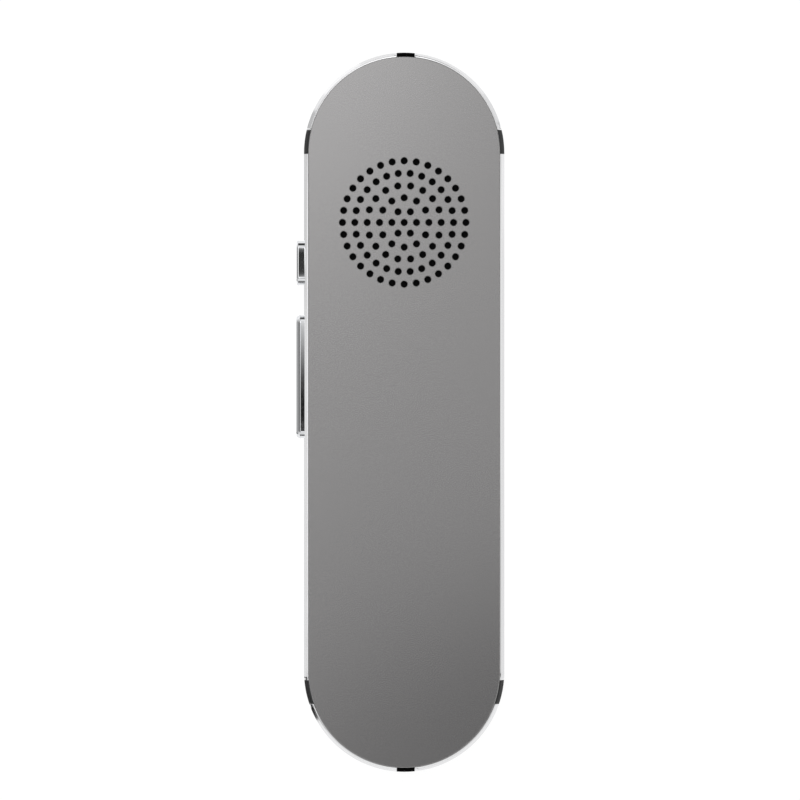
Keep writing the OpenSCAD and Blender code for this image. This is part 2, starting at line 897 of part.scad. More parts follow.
module usb_shell() {
    color("#b4b6b9") difference() {
        from_mouth(0, usb_l) port_outline(0);
        from_mouth(-cut, usb_l + cut - usb_back_t) port_outline(-usb_wall);
    }
}

module usb_tongue() {
    color("#131315") {
        from_mouth(usb_tongue_depth, usb_l - usb_back_t - usb_tongue_depth)
            square([usb_tongue_w, usb_tongue_t], center = true);
        from_mouth(usb_l - usb_back_t - usb_root_l, usb_root_l) port_outline(-usb_wall - fit_gap);
    }
    color("#c9a85c") for (side = [-1, 1], i = [0 : usb_contacts - 1])
        translate([0, 0, side * (usb_tongue_t + usb_contact_t) / 2])
            from_mouth(usb_tongue_depth + usb_contact_in, usb_contact_l)
                translate([(i - (usb_contacts - 1) / 2) * usb_contact_pitch, 0])
                    square([usb_contact_w, usb_contact_t], center = true);
}

// ---------- battery ----------

module battery_cell() {
    color("#3b3e44") translate([0, battery_top_y, battery_z + battery_t / 2]) rotate([90, 0, 0])
        linear_extrude(battery_l) round_rect(battery_w, battery_t, battery_corner);
}

module battery_pad() {
    x = battery_w / 2 - battery_pad_in;
    color("#2a2a2c")
        box([-x, battery_y + battery_pad_in, board_top_z], [x, battery_top_y - battery_pad_in, battery_z]);
}

module battery_circuit() {
    x = battery_w / 2 - circuit_in;
    color("#c98b2e") box([-x, battery_top_y, battery_z + circuit_low],
        [x, battery_top_y + circuit_l, battery_z + battery_t - circuit_low]);
}

module battery_socket() {
    color("#ece9e0") difference() {
        chip([socket_x, socket_y], [socket_l, socket_w, socket_h]);
        translate([socket_x - socket_l / 2 - cut, socket_y, board_top_z + socket_h / 2]) rotate([0, 90, 0])
            linear_extrude(socket_l / 2 + cut)
                square([socket_h - 2 * socket_wall, socket_w - 2 * socket_wall], center = true);
    }
}

// Three leads leave the battery's circuit and turn into the socket
module battery_leads() {
    off_face = pocket_gap / 2;
    exit = [lead_exit_x, battery_top_y + circuit_l + off_face, battery_z + battery_t / 2 - circuit_low];
    entry = [socket_x, socket_y, board_top_z + socket_h / 2];
    colours = ["#b3261e", "#e0c04a", "#1b1b1c"];
    for (i = [-1 : 1]) {
        a = exit + [-lead_step * i, 0, 0];
        b = entry + [-off_face, lead_step * i, 0];
        a_handle = a + [0, lead_handle * (3 + i) / 4, 0];
        color(colours[i + 1]) wire(curve(a, a_handle, b - [lead_handle, 0, 0], b), lead_d, [0, 0, 1]);
    }
}

// ---------- loudspeaker ----------

module at_grille(z = 0) {
    translate([0, grille_y, z]) children();
}

// Ring round the grille's centre
module ring(r_in, r_out, z_from, z_to) {
    at_grille() rotate_extrude() translate([r_in, z_from]) square([r_out - r_in, z_to - z_from]);
}

module speaker_bracket() {
    color("#2b2c2f") difference() {
        union() {
            ring(speaker_r - speaker_seat_w, bracket_r, bracket_z, bracket_z + bracket_seat_t);
            ring(speaker_r + bracket_gap, bracket_r, bracket_z, speaker_z + bracket_lip);
            difference() {
                for (p = bracket_lugs) translate([p[0], p[1], bracket_z]) {
                    cylinder(r = lug_r, h = bracket_seat_t);
                    rotate([0, 0, atan2(grille_y - p[1], -p[0])]) translate([0, -lug_r, 0])
                        cube([lug_from_centre - bracket_r + bracket_wall, 2 * lug_r, bracket_seat_t]);
                }
                at_grille() cylinder(r = bracket_r - bracket_wall / 2, h = body_t);
            }
        }
        for (p = bracket_lugs) translate([p[0], p[1], 0]) cylinder(r = screw_r + screw_clear, h = body_t);
    }
}

module bracket_screws() {
    screws(bracket_lugs, bracket_z + bracket_seat_t, bracket_screw_l);
}

// Frame of the loudspeaker: a flat rim, a short wall and a slope down to the yoke
module speaker_basket() {
    wall = basket_wall;
    side_r = speaker_r - speaker_seat_w - bracket_gap;
    hub_r = yoke_r + fit_gap;
    rim_low_z = speaker_z - speaker_rim_t;
    color("#303135") {
        at_grille() difference() {
            rotate_extrude() polygon([
                [speaker_r, speaker_z], [speaker_r, rim_low_z], [side_r, rim_low_z],
                [side_r, bracket_z], [hub_r + wall, hub_z], [hub_r, hub_z],
                [hub_r, yoke_top_z], [side_r - wall, bracket_z + wall], [side_r - wall, speaker_z]
            ]);
            for (a = [0, 90, 180]) rotate([0, 0, a - 22.5]) rotate_extrude(angle = 45)
                translate([hub_r + wall + window_gap, 0])
                    square([side_r - hub_r - 2 * (wall + window_gap), speaker_z]);
        }
        translate([-terminal_w / 2, grille_y - terminal_r, hub_z])
            cube([terminal_w, terminal_r - hub_r - wall / 2, terminal_t]);
    }
}

// Steel cup round the magnet, and the plate on top of it
module speaker_yoke() {
    color("#8b8e92") {
        at_grille() rotate_extrude() polygon([
            [0, yoke_z], [yoke_r, yoke_z], [yoke_r, yoke_top_z], [yoke_r - yoke_wall, yoke_top_z],
            [yoke_r - yoke_wall, yoke_z + yoke_wall], [0, yoke_z + yoke_wall]
        ]);
        at_grille(yoke_top_z - plate_t) cylinder(r = plate_r, h = plate_t);
    }
}

module speaker_magnet() {
    color("#a9abae") at_grille(yoke_z + yoke_wall)
        cylinder(r = plate_r - coil_gap, h = yoke_top_z - plate_t - yoke_z - yoke_wall);
}

module speaker_coil() {
    color("#b06a35") ring(coil_r, coil_r + coil_t, yoke_z + yoke_wall + cone_travel + coil_gap, coil_top_z);
}

// The cone and its dome are thin walls that follow curves, from the coil out to the surround
module speaker_cone() {
    steps = 8;
    r_a = coil_r + coil_t / 2;
    flare = [for (i = [0 : steps]) let (t = i / steps, rise = cone_bend * (1 - cos(90 * t) - t) + t)
        [r_a + (surround_in_r - r_a) * t, coil_top_z + cone_rise * rise]];
    dome = [for (i = [0 : steps]) let (a = 90 * i / steps)
        [r_a * sin(a), coil_top_z + dome_rise * cos(a)]];
    under = [for (i = [steps : -1 : 0]) flare[i] + [0, cone_t]];
    color("#212226") at_grille() rotate_extrude() {
        polygon(concat(flare, under));
        polygon(concat(dome, [for (i = [steps : -1 : 0]) dome[i] + [0, cone_t]]));
    }
}

// Half-roll of rubber between the cone and the frame
module speaker_surround() {
    mid_r = (surround_in_r + surround_out_r) / 2;
    roll_r = (surround_out_r - surround_in_r) / 2;
    steps = 8;
    arc = [for (i = [0 : steps]) let (a = 180 * i / steps) [cos(a), sin(a)]];
    back = [for (i = [steps : -1 : 0]) arc[i] * (1 - cone_t / roll_r)];
    color("#141416") at_grille(coil_top_z + cone_rise) rotate_extrude()
        polygon([for (p = concat(arc, back)) [mid_r, 0] + roll_r * p]);
}

module speaker_gasket() {
    color("#3a3b3e") ring(speaker_r - gasket_w, speaker_r, speaker_z, speaker_z + gasket_t);
}

module grille_mesh() {
    color("#0e0e0f") ring(0, speaker_r - mesh_in, cover_z - mesh_t, cover_z);
}

// Two leads run from the frame's terminals down to the board
module speaker_leads() {
    lead_r = lead_d / 2;
    colours = ["#b3261e", "#1b1b1c"];
    for (i = [0, 1]) {
        a = [lead_pads_x[i], grille_y - terminal_r + lead_on_terminal, hub_z - lead_r - press_gap];
        b = [lead_pads_x[i], lead_pad_y - lead_on_pad, board_top_z + lead_pad_h + lead_r + press_gap];
        color(colours[i]) wire(curve(a, a - [0, lead_bow, 0], b + [0, lead_bow, 0], b), lead_d, [1, 0, 0]);
    }
}

// ---------- microphone and status light ----------

module microphone_boot() {
    front = mic_boot_y - mic_boot_l;
    color("#1a1a1b") difference() {
        translate([end_break_x - mic_boot_w / 2, front, board_top_z])
            cube([mic_boot_w, mic_boot_l, mic_boot_h]);
        translate([end_break_x, front - cut, mid_z]) rotate([-90, 0, 0])
            cylinder(d = mic_d + 2 * fit_gap, h = cut + mic_depth + mic_l + fit_gap);
        end_hole(mic_hole_d, mid_z);
    }
}

module microphone() {
    color("#c3c5c8") translate([end_break_x, mic_boot_y - mic_boot_l + mic_depth, mid_z])
        rotate([-90, 0, 0]) cylinder(d = mic_d, h = mic_l);
}

module status_light() {
    color("#f2f4ee")
        chip([end_break_x, status_light_y], [status_light_l, status_light_w, status_light_h]);
}

// Clear rod that carries the light up from the board and out through the grille end
module light_pipe() {
    low_z = board_top_z + status_light_h + pipe_foot;
    r = pipe_d / 2;
    color("#e9eef0") {
        translate([end_break_x, status_light_y, low_z]) cylinder(r = r, h = pipe_z - low_z);
        translate([end_break_x, status_light_y, pipe_z]) sphere(r = r);
        translate([end_break_x, status_light_y, pipe_z]) rotate([-90, 0, 0])
            cylinder(r = r, h = body_l / 2 - pipe_inset - status_light_y);
    }
}

// ---------- pieces ----------

front_cover();
back_cover();
cover_tape();  // front_tape
onto_back() cover_tape();  // back_tape
band_left();
band_right();
band_corner(-1, 1);  // band_top_left
band_corner(1, 1);  // band_top_right
band_corner(-1, -1);  // band_bottom_left
band_corner(1, -1);  // band_bottom_right
break_top();
break_bottom();
break_insert() side_break_space(-1, upper_break_y);  // break_upper_left
break_insert() side_break_space(1, upper_break_y);  // break_upper_right
break_insert() side_break_space(-1, lower_break_y);  // break_lower_left
break_insert() side_break_space(1, lower_break_y);  // break_lower_right
chassis();
power_key();
talk_key();
talk_key_pin();
side_switch(power_key_y);  // power_switch
side_switch(talk_key_y + talk_arm);  // talk_switch_upper
side_switch(talk_key_y - talk_arm);  // talk_switch_lower
switch_covers();
plunger(power_key_y);  // power_plunger
plunger(talk_key_y + talk_arm);  // talk_plunger_upper
plunger(talk_key_y - talk_arm);  // talk_plunger_lower
main_board();
board_screws();
processor();
processor_shield();
board_chips();
antenna();
usb_shell();
usb_tongue();
battery_cell();
battery_pad();
battery_circuit();
battery_socket();
battery_leads();
speaker_bracket();
bracket_screws();
speaker_basket();
speaker_yoke();
speaker_magnet();
speaker_coil();
speaker_cone();
speaker_surround();
speaker_gasket();
grille_mesh();
speaker_leads();
microphone();
microphone_boot();
status_light();
light_pipe();
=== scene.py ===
# %% [markdown]
# # A handheld voice translator, dressed for its portrait
#
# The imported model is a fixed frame: every solid is in its place, in metres, and nothing here
# moves it. This lesson makes the pieces that the eye meets again with finer edges, gives every
# piece its real finish, and lights the whole on a white table.

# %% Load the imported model
import math

import bmesh
import bpy
from bmesh.types import BMEdge, BMFace, BMVert
from mathutils import Matrix, Vector


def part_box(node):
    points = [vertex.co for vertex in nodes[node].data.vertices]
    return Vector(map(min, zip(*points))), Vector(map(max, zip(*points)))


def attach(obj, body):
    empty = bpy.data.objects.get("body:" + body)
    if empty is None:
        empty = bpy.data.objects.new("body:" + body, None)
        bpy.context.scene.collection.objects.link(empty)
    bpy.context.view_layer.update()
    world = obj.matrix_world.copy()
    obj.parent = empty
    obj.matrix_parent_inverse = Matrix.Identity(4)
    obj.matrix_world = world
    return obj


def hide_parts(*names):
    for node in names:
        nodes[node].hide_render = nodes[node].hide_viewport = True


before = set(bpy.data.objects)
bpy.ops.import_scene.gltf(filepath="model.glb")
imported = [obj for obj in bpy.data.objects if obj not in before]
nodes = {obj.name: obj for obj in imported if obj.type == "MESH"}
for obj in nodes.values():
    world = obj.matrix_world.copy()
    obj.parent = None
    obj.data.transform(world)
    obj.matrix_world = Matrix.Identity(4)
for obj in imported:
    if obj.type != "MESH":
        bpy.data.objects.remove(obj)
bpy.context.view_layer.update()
scene = bpy.context.scene

# %% [markdown]
# ## Sizes
#
# The frame knows how large the object is, so the radius and length of the covers and the band
# are read from it. Small sizes that a solid model leaves out are given here in millimetres.

# %% Driving sizes
MM = 0.001
cover_low, cover_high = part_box("front_cover")
rail_low, rail_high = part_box("band_right")

COVER_R = cover_high.x
COVER_Z = cover_low.z
TOP_Z = cover_high.z
MID_Z = TOP_Z / 2
ARC_Y = cover_high.y - COVER_R
OUTER_R = rail_high.x
RIM_Z = rail_high.z
HALF_LENGTH = ARC_Y + OUTER_R

ARC_STEPS = 72
BORE_STEPS = 32
FINE_EDGE = 0.05 * MM
WELD = 0.0005 * MM

# Turns between two faces: less is one plane, more is a corner to soften, more is a sharp edge.
COPLANAR = math.radians(0.05)
CORNER = math.radians(20)
SHARP = math.radians(34)
print("arc centres at", round(ARC_Y / MM, 2), "mm, band radius", round(OUTER_R / MM, 2), "mm")

# %% [markdown]
# ## Turning a mesh into a piece
#
# Each piece is shaped as a bmesh and becomes an object at the origin, so that it shares the
# frame's coordinates. Faces are smooth and real edges are marked sharp, which keeps flat faces
# flat while arcs and small roundings shade as one surface.

# %% From bmesh to object
def weld(bm):
    """Joins the points that lie together."""
    bmesh.ops.remove_doubles(bm, verts=bm.verts, dist=WELD)


def mark_edges(bm, sharp=SHARP):
    """Smooth faces, and a sharp mark on every edge that turns by more than an angle."""
    weld(bm)
    bmesh.ops.recalc_face_normals(bm, faces=bm.faces)
    for face in bm.faces:
        face.smooth = True
    for edge in bm.edges:
        edge.smooth = len(edge.link_faces) == 2 and edge.calc_face_angle(0) < sharp


def to_object(bm, name, sharp=SHARP):
    """Makes an object of a bmesh."""
    mark_edges(bm, sharp)
    mesh = bpy.data.meshes.new(name)
    bm.to_mesh(mesh)
    bm.free()
    piece = bpy.data.objects.new(name, mesh)
    scene.collection.objects.link(piece)
    return piece


def only(kind, parts):
    """What is of one kind among what an operator made."""
    return [part for part in parts if isinstance(part, kind)]


def everything(bm):
    """All that a bmesh holds."""
    return bm.verts[:] + bm.edges[:] + bm.faces[:]


def push(bm, faces, way):
    """Extrudes faces along a vector and returns what is new."""
    made = bmesh.ops.extrude_face_region(bm, geom=faces)["geom"]
    bmesh.ops.translate(bm, verts=only(BMVert, made), vec=way)
    return made


def pour(part, bm):
    """Adds one bmesh to another."""
    mesh = bpy.data.meshes.new("part")
    part.to_mesh(mesh)
    part.free()
    bm.from_mesh(mesh)
    bpy.data.meshes.remove(mesh)


def cylinder(bm, radius, height):
    """An upright cylinder about the origin, by its vertices."""
    return bmesh.ops.create_cone(
        bm, cap_ends=True, segments=BORE_STEPS, radius1=radius, radius2=radius, depth=height,
    )["verts"]


print("helpers ready")

# %% [markdown]
# Two shop operations come back often. *Carving* cuts one piece with another, as a milling
# cutter does. *Softening* takes the knife edge off every corner: deburred metal has no edge
# without a small round, and that round is what shines.

# %% Carve and soften
def carve(piece, cutter, how="DIFFERENCE"):
    """Cuts one object with another and keeps the result as plain mesh."""
    cut = piece.modifiers.new("cut", "BOOLEAN")
    cut.operation = how
    cut.solver = "EXACT"
    cut.object = cutter
    bpy.context.view_layer.update()
    shaped = piece.evaluated_get(bpy.context.evaluated_depsgraph_get())
    bm = bmesh.new()
    bm.from_mesh(shaped.to_mesh())
    piece.modifiers.clear()
    mark_edges(bm)
    bm.to_mesh(piece.data)
    bm.free()
    bpy.data.objects.remove(cutter)
    return piece


def soften(piece, width=FINE_EDGE, segments=2):
    """Rounds every sharp edge of a piece by a hair."""
    bm = bmesh.new()
    bm.from_mesh(piece.data)
    weld(bm)
    bmesh.ops.dissolve_limit(bm, angle_limit=COPLANAR, verts=bm.verts, edges=bm.edges)
    edges = [e for e in bm.edges if len(e.link_faces) == 2 and e.calc_face_angle(0) > CORNER]
    bmesh.ops.bevel(
        bm, geom=edges, offset=width, offset_type="OFFSET", affect="EDGES", segments=segments,
        profile=0.5, material=-1, clamp_overlap=True,
    )
    name = piece.name
    bpy.data.objects.remove(piece)
    return to_object(bm, name)


print("carve and soften ready")

# %% [markdown]
# ## The stick's outline
#
# Covers, band and breaks all follow one path: two half circles joined by straight sides. A
# section walks it once: pushed up a side, spun half a turn about the arc's centre, pushed back
# down and spun again. Spinning keeps it square to the path, which a scaled circle would not.

# %% Walk a section round the outline
def open_edges(bm, height):
    """Edges of the open rims at one height."""
    return [
        edge for edge in bm.edges
        if edge.is_boundary and all(abs(v.co.z - height) < WELD for v in edge.verts)
    ]


def section_edges(bm, section, y, closed):
    """Draws a section of (radius, height) points in the plane of one y."""
    points = [bm.verts.new((r, y, z)) for r, z in section]
    pairs = list(zip(points, points[1:]))
    if closed:
        pairs.append((points[-1], points[0]))
    return [bm.edges.new(pair) for pair in pairs]


def walk_round(bm, section, closed):
    """Carries a section once round the stick."""
    edges = section_edges(bm, section, -ARC_Y, closed)
    for end in (1, -1):
        points = only(BMVert, bmesh.ops.extrude_edge_only(bm, edges=edges)["geom"])
        edges = [e for e in bm.edges if e.verts[0] in points and e.verts[1] in points]
        bmesh.ops.translate(bm, verts=points, vec=(0, 2 * end * ARC_Y, 0))
        last = bmesh.ops.spin(
            bm, geom=points + edges, cent=(0, end * ARC_Y, 0), axis=(0, 0, 1),
            angle=math.pi, steps=ARC_STEPS,
        )["geom_last"]
        edges = only(BMEdge, last)
    weld(bm)


print("outline of", 2 * ARC_STEPS, "arc steps")

# %% [markdown]
# ## Covers
#
# The front cover is a blanked aluminium plate with 95 drilled sound holes. Walking its edge
# round the outline and filling the two flat faces gives the plate. The drill also countersinks,
# and the countersink catches a light ring round each hole. The back cover is the same plate
# without holes, turned over.

# %% Front and back cover
COVER_CHAMFER = 0.12 * MM
HOLE_R = 0.65 * MM
HOLE_CHAMFER = 0.08 * MM
HOLE_STEPS = 28
RING_PITCH = 2.4 * MM
RING_COUNTS = (1, 6, 12, 18, 26, 32)
mesh_low, mesh_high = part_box("grille_mesh")
GRILLE_Y = (mesh_low.y + mesh_high.y) / 2


def cover_plate():
    """A plate with a broken edge along its outer face."""
    bm = bmesh.new()
    broken = TOP_Z - COVER_CHAMFER
    walk_round(bm, [(COVER_R - COVER_CHAMFER, TOP_Z), (COVER_R, broken), (COVER_R, COVER_Z)], False)
    for height in (TOP_Z, COVER_Z):
        bmesh.ops.contextual_create(bm, geom=open_edges(bm, height))
    return bm


def hole_places():
    """Centres of the sound holes, on rings that each start at +X."""
    centre = Vector((0, GRILLE_Y, 0))
    for ring, count in enumerate(RING_COUNTS):
        for i in range(count):
            turn = Matrix.Rotation(2 * math.pi * i / count, 3, "Z")
            yield centre + turn @ Vector((ring * RING_PITCH, 0, 0))


def drills():
    """A countersinking drill for each sound hole: turned once, then copied."""
    bm = bmesh.new()
    past = HOLE_R
    wide = HOLE_R + HOLE_CHAMFER + past
    section = [
        (0, COVER_Z - past), (HOLE_R, COVER_Z - past), (HOLE_R, TOP_Z - HOLE_CHAMFER),
        (wide, TOP_Z + past), (0, TOP_Z + past),
    ]
    edges = section_edges(bm, section, 0, closed=False)
    bmesh.ops.spin(
        bm, geom=bm.verts[:] + edges, axis=(0, 0, 1), angle=2 * math.pi, steps=HOLE_STEPS,
        use_merge=True,
    )
    weld(bm)
    first = everything(bm)
    for place in hole_places():
        copied = bmesh.ops.duplicate(bm, geom=first)["geom"]
        bmesh.ops.translate(bm, verts=only(BMVert, copied), vec=place)
    bmesh.ops.delete(bm, geom=first, context="VERTS")
    return to_object(bm, "drills")


front_cover = carve(to_object(cover_plate(), "front_cover_plate"), drills())
turned_over = cover_plate()
flip = Matrix.Translation((0, 0, TOP_Z)) @ Matrix.Scale(-1, 4, (0, 0, 1))
bmesh.ops.transform(turned_over, matrix=flip, verts=turned_over.verts)
back_cover = to_object(turned_over, "back_cover_plate")
print("front cover", len(front_cover.data.polygons), "faces")

# %% [markdown]
# ## Band
#
# The bright band is a machined aluminium ring with a chamfer along both edges, a narrow lip
# that slopes in towards the covers, and ledges inside that the covers are taped to. Planes cut
# the ring into lengths where the black breaks sit, as the band of a phone is slit for its
# antennas.

# %% Lengths of band
RIM_CHAMFER = 0.55 * MM
LIP_SLOPE = 0.07 * MM
COVER_GAP = 0.05 * MM
BAND_WALL = 1.3 * MM
LEDGE_REACH = 1.5 * MM
LEDGE_T = 1.05 * MM
TAPE_T = 0.15 * MM


def band_section():
    """Section of the band, from its widest point in front round to the back."""
    shoulder_r = OUTER_R - RIM_CHAMFER
    lip_r = COVER_R + COVER_GAP
    ledge_z = COVER_Z - TAPE_T
    ledge_r = OUTER_R - BAND_WALL - LEDGE_REACH
    front = [
        (OUTER_R, RIM_Z - RIM_CHAMFER), (shoulder_r, RIM_Z - LIP_SLOPE), (lip_r, RIM_Z),
        (lip_r, ledge_z), (ledge_r, ledge_z), (ledge_r, ledge_z - LEDGE_T),
        (OUTER_R - BAND_WALL, ledge_z - LEDGE_T),
    ]
    return front + [(r, TOP_Z - z) for r, z in reversed(front)]


def keep_between(bm, axis, low, high):
    """Keeps what lies between two planes across an axis, and closes the cuts."""
    for place, side in ((low, -1), (high, 1)):
        bmesh.ops.bisect_plane(
            bm, geom=everything(bm), dist=WELD, plane_co=axis * place, plane_no=axis * side,
            clear_outer=True,
        )
        rims = [edge for edge in bm.edges if edge.is_boundary]
        bmesh.ops.holes_fill(bm, edges=rims, sides=0)


def band_length(name, x, y):
    """Length of band inside a window of the plan, each side given as (low, high)."""
    bm = bmesh.new()
    walk_round(bm, band_section(), True)
    keep_between(bm, Vector((0, 1, 0)), *y)
    keep_between(bm, Vector((1, 0, 0)), *x)
    return to_object(bm, name)


PAST = 2 * OUTER_R
left_side = (-PAST, 0)
right_side = (0, PAST)
rail_ends = (rail_low.y, rail_high.y)
top_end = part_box("band_top_left")[0].y
bottom_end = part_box("band_bottom_left")[1].y
break_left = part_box("band_top_left")[1].x
break_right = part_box("band_top_right")[0].x

left_corner = (-PAST, break_left)
right_corner = (break_right, PAST)
grille_end = (top_end, 2 * PAST)
port_end = (-2 * PAST, bottom_end)

band_lengths = {
    "band_left": band_length("left_rail", left_side, rail_ends),
    "band_right": band_length("right_rail", right_side, rail_ends),
    "band_top_left": band_length("top_left_corner", left_corner, grille_end),
    "band_top_right": band_length("top_right_corner", right_corner, grille_end),
    "band_bottom_left": band_length("bottom_left_corner", left_corner, port_end),
    "band_bottom_right": band_length("bottom_right_corner", right_corner, port_end),
}
print(len(band_lengths), "lengths of band")

# %% [markdown]
# ## Bars with round corners
#
# Key windows, charging port and keys are all rounded rectangles pushed along an axis. A grid of
# one face gets its corners rounded while it is flat, where a vertex bevel gives a true arc, and
# is then extruded.

# %% Rounded bar
CORNER_STEPS = 24
# Sideways lays the length along Y and pushes towards -X, endways lays it along X, towards -Y.
SIDEWAYS = Matrix(((0, 0, -1, 0), (1, 0, 0, 0), (0, 1, 0, 0), (0, 0, 0, 1)))
ENDWAYS = Matrix(((1, 0, 0, 0), (0, 0, -1, 0), (0, 1, 0, 0), (0, 0, 0, 1)))


def rounded_bar(bm, size, corner, depth, start, way=SIDEWAYS):
    """A bar whose flat section of size (length, height) is pushed by depth from its start."""
    part = bmesh.new()
    bmesh.ops.create_grid(part, x_segments=1, y_segments=1, size=0.5)
    bmesh.ops.scale(part, vec=(size[0], size[1], 1), verts=part.verts)
    if corner:
        corner = min(corner, size[1] / 2 - WELD / 4)    # a little short of the middle
        bmesh.ops.bevel(
            part, geom=part.verts[:], offset=corner, offset_type="OFFSET", affect="VERTICES",
            segments=CORNER_STEPS, profile=0.5, material=-1,
        )
        weld(part)
    push(part, part.faces[:], (0, 0, depth))
    bmesh.ops.transform(part, matrix=Matrix.Translation(start) @ way, verts=part.verts)
    bmesh.ops.recalc_face_normals(part, faces=part.faces)
    pour(part, bm)


def bar_object(*bar):
    """A rounded bar as an object, for carving."""
    bm = bmesh.new()
    rounded_bar(bm, *bar)
    return to_object(bm, "bar")


print("bars ready")

# %% [markdown]
# The two keys come through the left rail in close windows, each on a shallow flat, milled across
# the rail so that a fingertip finds it. A key's solid gives its flange. The cap sits on that, set
# in from its ends and a little further up the rail than its middle. The charging port comes
# through the port end in a black bezel. Bezel and slit are one moulding, so its outline is
# joined first and the ring is trimmed to it.

# %% Windows and port
KEY_CLEAR = 0.12 * MM
KEY_CORNER = 1.6 * MM
KEY_HEIGHT = 4 * MM
KEY_FLAT = {"power_key": 0.2 * MM, "talk_key": 0.14 * MM}
CAP_INSET = {"power_key": 0.75 * MM, "talk_key": 0.55 * MM}
CAP_SHIFT = {"power_key": 0.38 * MM, "talk_key": 0.06 * MM}
PORT_GAP = 0.1 * MM
BEZEL = 0.6 * MM
REACH = 3 * MM

port_low, port_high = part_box("usb_shell")
PORT_W = port_high.x - port_low.x
PORT_H = port_high.z - port_low.z


def key_base(node):
    """Middle and length of a key's flange along the rail."""
    low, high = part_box(node)
    return (low.y + high.y) / 2, high.y - low.y


def key_span(node):
    """Middle and length of a key's cap along the rail."""
    middle, length = key_base(node)
    return middle + CAP_SHIFT[node], length - 2 * CAP_INSET[node]


def port_pill(margin, past):
    """The port's outline grown by a margin, through the port end of the band."""
    size = (PORT_W + 2 * margin, PORT_H + 2 * margin)
    start = (0, -ARC_Y - REACH, MID_Z)
    return bar_object(size, size[1] / 2, OUTER_R + past, start, ENDWAYS)


for key, flat_depth in KEY_FLAT.items():
    middle, length = key_span(key)
    size = (length + 2 * KEY_CLEAR, KEY_HEIGHT + 2 * KEY_CLEAR)
    start = (REACH - OUTER_R, middle, MID_Z)
    window = bar_object(size, KEY_CORNER + KEY_CLEAR, 2 * REACH, start)
    carve(band_lengths["band_left"], window)
    size = (length - 2 * KEY_CLEAR, 2 * TOP_Z)
    start = (flat_depth - OUTER_R, middle, MID_Z)
    carve(band_lengths["band_left"], bar_object(size, 0, REACH, start))
for corner in ("band_bottom_left", "band_bottom_right"):
    carve(band_lengths[corner], port_pill(BEZEL + PORT_GAP, 0))
for node, piece in band_lengths.items():
    band_lengths[node] = soften(piece)
print("band carved and softened")

# %% [markdown]
# ## Breaks
#
# Six black mouldings close the slits. They are slices of the same ring, so they run flush with
# the metal. The one at the grille end has a fine hole for the microphone, and one above it for
# the status light.

# %% Black breaks
MIC_HOLE_R = 0.5 * MM
PIPE_GAP = 0.03 * MM
pipe_low, pipe_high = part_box("light_pipe")
PIPE_R = (pipe_high.x - pipe_low.x) / 2
PIPE_X = (pipe_high.x + pipe_low.x) / 2
PIPE_Z = pipe_high.z - PIPE_R


def end_drill(radius, height):
    """A drill through the grille end at one height."""
    bm = bmesh.new()
    cylinder(bm, radius, 2 * OUTER_R)
    lie = Matrix.Translation((PIPE_X, HALF_LENGTH, height)) @ Matrix.Rotation(math.pi / 2, 4, "X")
    bmesh.ops.transform(bm, matrix=lie, verts=bm.verts)
    return to_object(bm, "drill")


slit_top = (rail_high.y, top_end)
slit_low = (bottom_end, rail_low.y)
slit_x = (break_left, break_right)
breaks = {
    "break_upper_left": band_length("upper_left_break", left_side, slit_top),
    "break_upper_right": band_length("upper_right_break", right_side, slit_top),
    "break_lower_left": band_length("lower_left_break", left_side, slit_low),
    "break_lower_right": band_length("lower_right_break", right_side, slit_low),
    "break_top": band_length("grille_end_break", slit_x, (ARC_Y, 2 * PAST)),
}
carve(breaks["break_top"], end_drill(MIC_HOLE_R, MID_Z))
carve(breaks["break_top"], end_drill(PIPE_R + PIPE_GAP, PIPE_Z))

bezel_slice = band_length("port_end_break", (-PORT_W, PORT_W), (-2 * PAST, -ARC_Y))
slit = (break_right - break_left, 2 * TOP_Z)
slit_start = ((break_left + break_right) / 2, -ARC_Y + REACH, MID_Z)
moulding = bar_object(slit, 0, 2 * OUTER_R, slit_start, ENDWAYS)
carve(moulding, port_pill(BEZEL + PORT_GAP, 0), "UNION")
carve(bezel_slice, moulding, "INTERSECT")
carve(bezel_slice, port_pill(PORT_GAP, REACH))
breaks["break_bottom"] = bezel_slice
for node, piece in breaks.items():
    breaks[node] = soften(piece)
print(len(breaks), "breaks")

# %% [markdown]
# ## Side keys
#
# Each key is a plated cap on a slightly smaller skirt, so a fine line runs round it behind the
# cap's rounded front. The skirt tapers towards the cap, as a moulding must to leave its mould,
# and its long sides are crowned: a flat side would flash all at once, and a crowned one lets the
# light slide along it. Behind the band sit the flange that holds the key in and the noses that
# press its switches. The talk key rocks on a pin, so it also has a boss. The power key's cap
# stands a little further out than its solid.

# %% Keys
KEY_FLANGE = 0.8 * MM
CAP_RIM = {"power_key": 0.07 * MM, "talk_key": 0.11 * MM}
CAP_OUT = {"power_key": 0.15 * MM, "talk_key": 0}
CAP_ROUND = {"power_key": 0.28 * MM, "talk_key": 0.7 * MM}
CAP_STEPS = 6
CAP_STEEP = math.radians(50)
CAP_FLAT = math.radians(70)
CAP_OVERHANG = 0.07 * MM
DRAFT = {"power_key": math.radians(5), "talk_key": math.radians(10)}
CROWN = {"power_key": 0.12, "talk_key": 0.1}
CROWN_STEPS = 24
KEY_SHARP = math.radians(4.5)
FLANGE_T = 0.6 * MM
FLANGE_GAP = 0.05 * MM
NOSE_R = 0.6 * MM
NOSE_H = 1.6 * MM
BOSS_R = 1.1 * MM
BOSS_H = 3 * MM
TALK_ARM = 7.5 * MM
TALK_TILT = math.radians(1.5)
pin_low, pin_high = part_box("talk_key_pin")
PIN_X = (pin_high.x + pin_low.x) / 2
PIN_Y = (pin_high.y + pin_low.y) / 2

talk_swing = key_base("talk_key")[1] / 2 * math.sin(TALK_TILT)
wall_face = BAND_WALL - OUTER_R + FLANGE_GAP
flange_face = {"power_key": wall_face, "talk_key": wall_face + talk_swing}


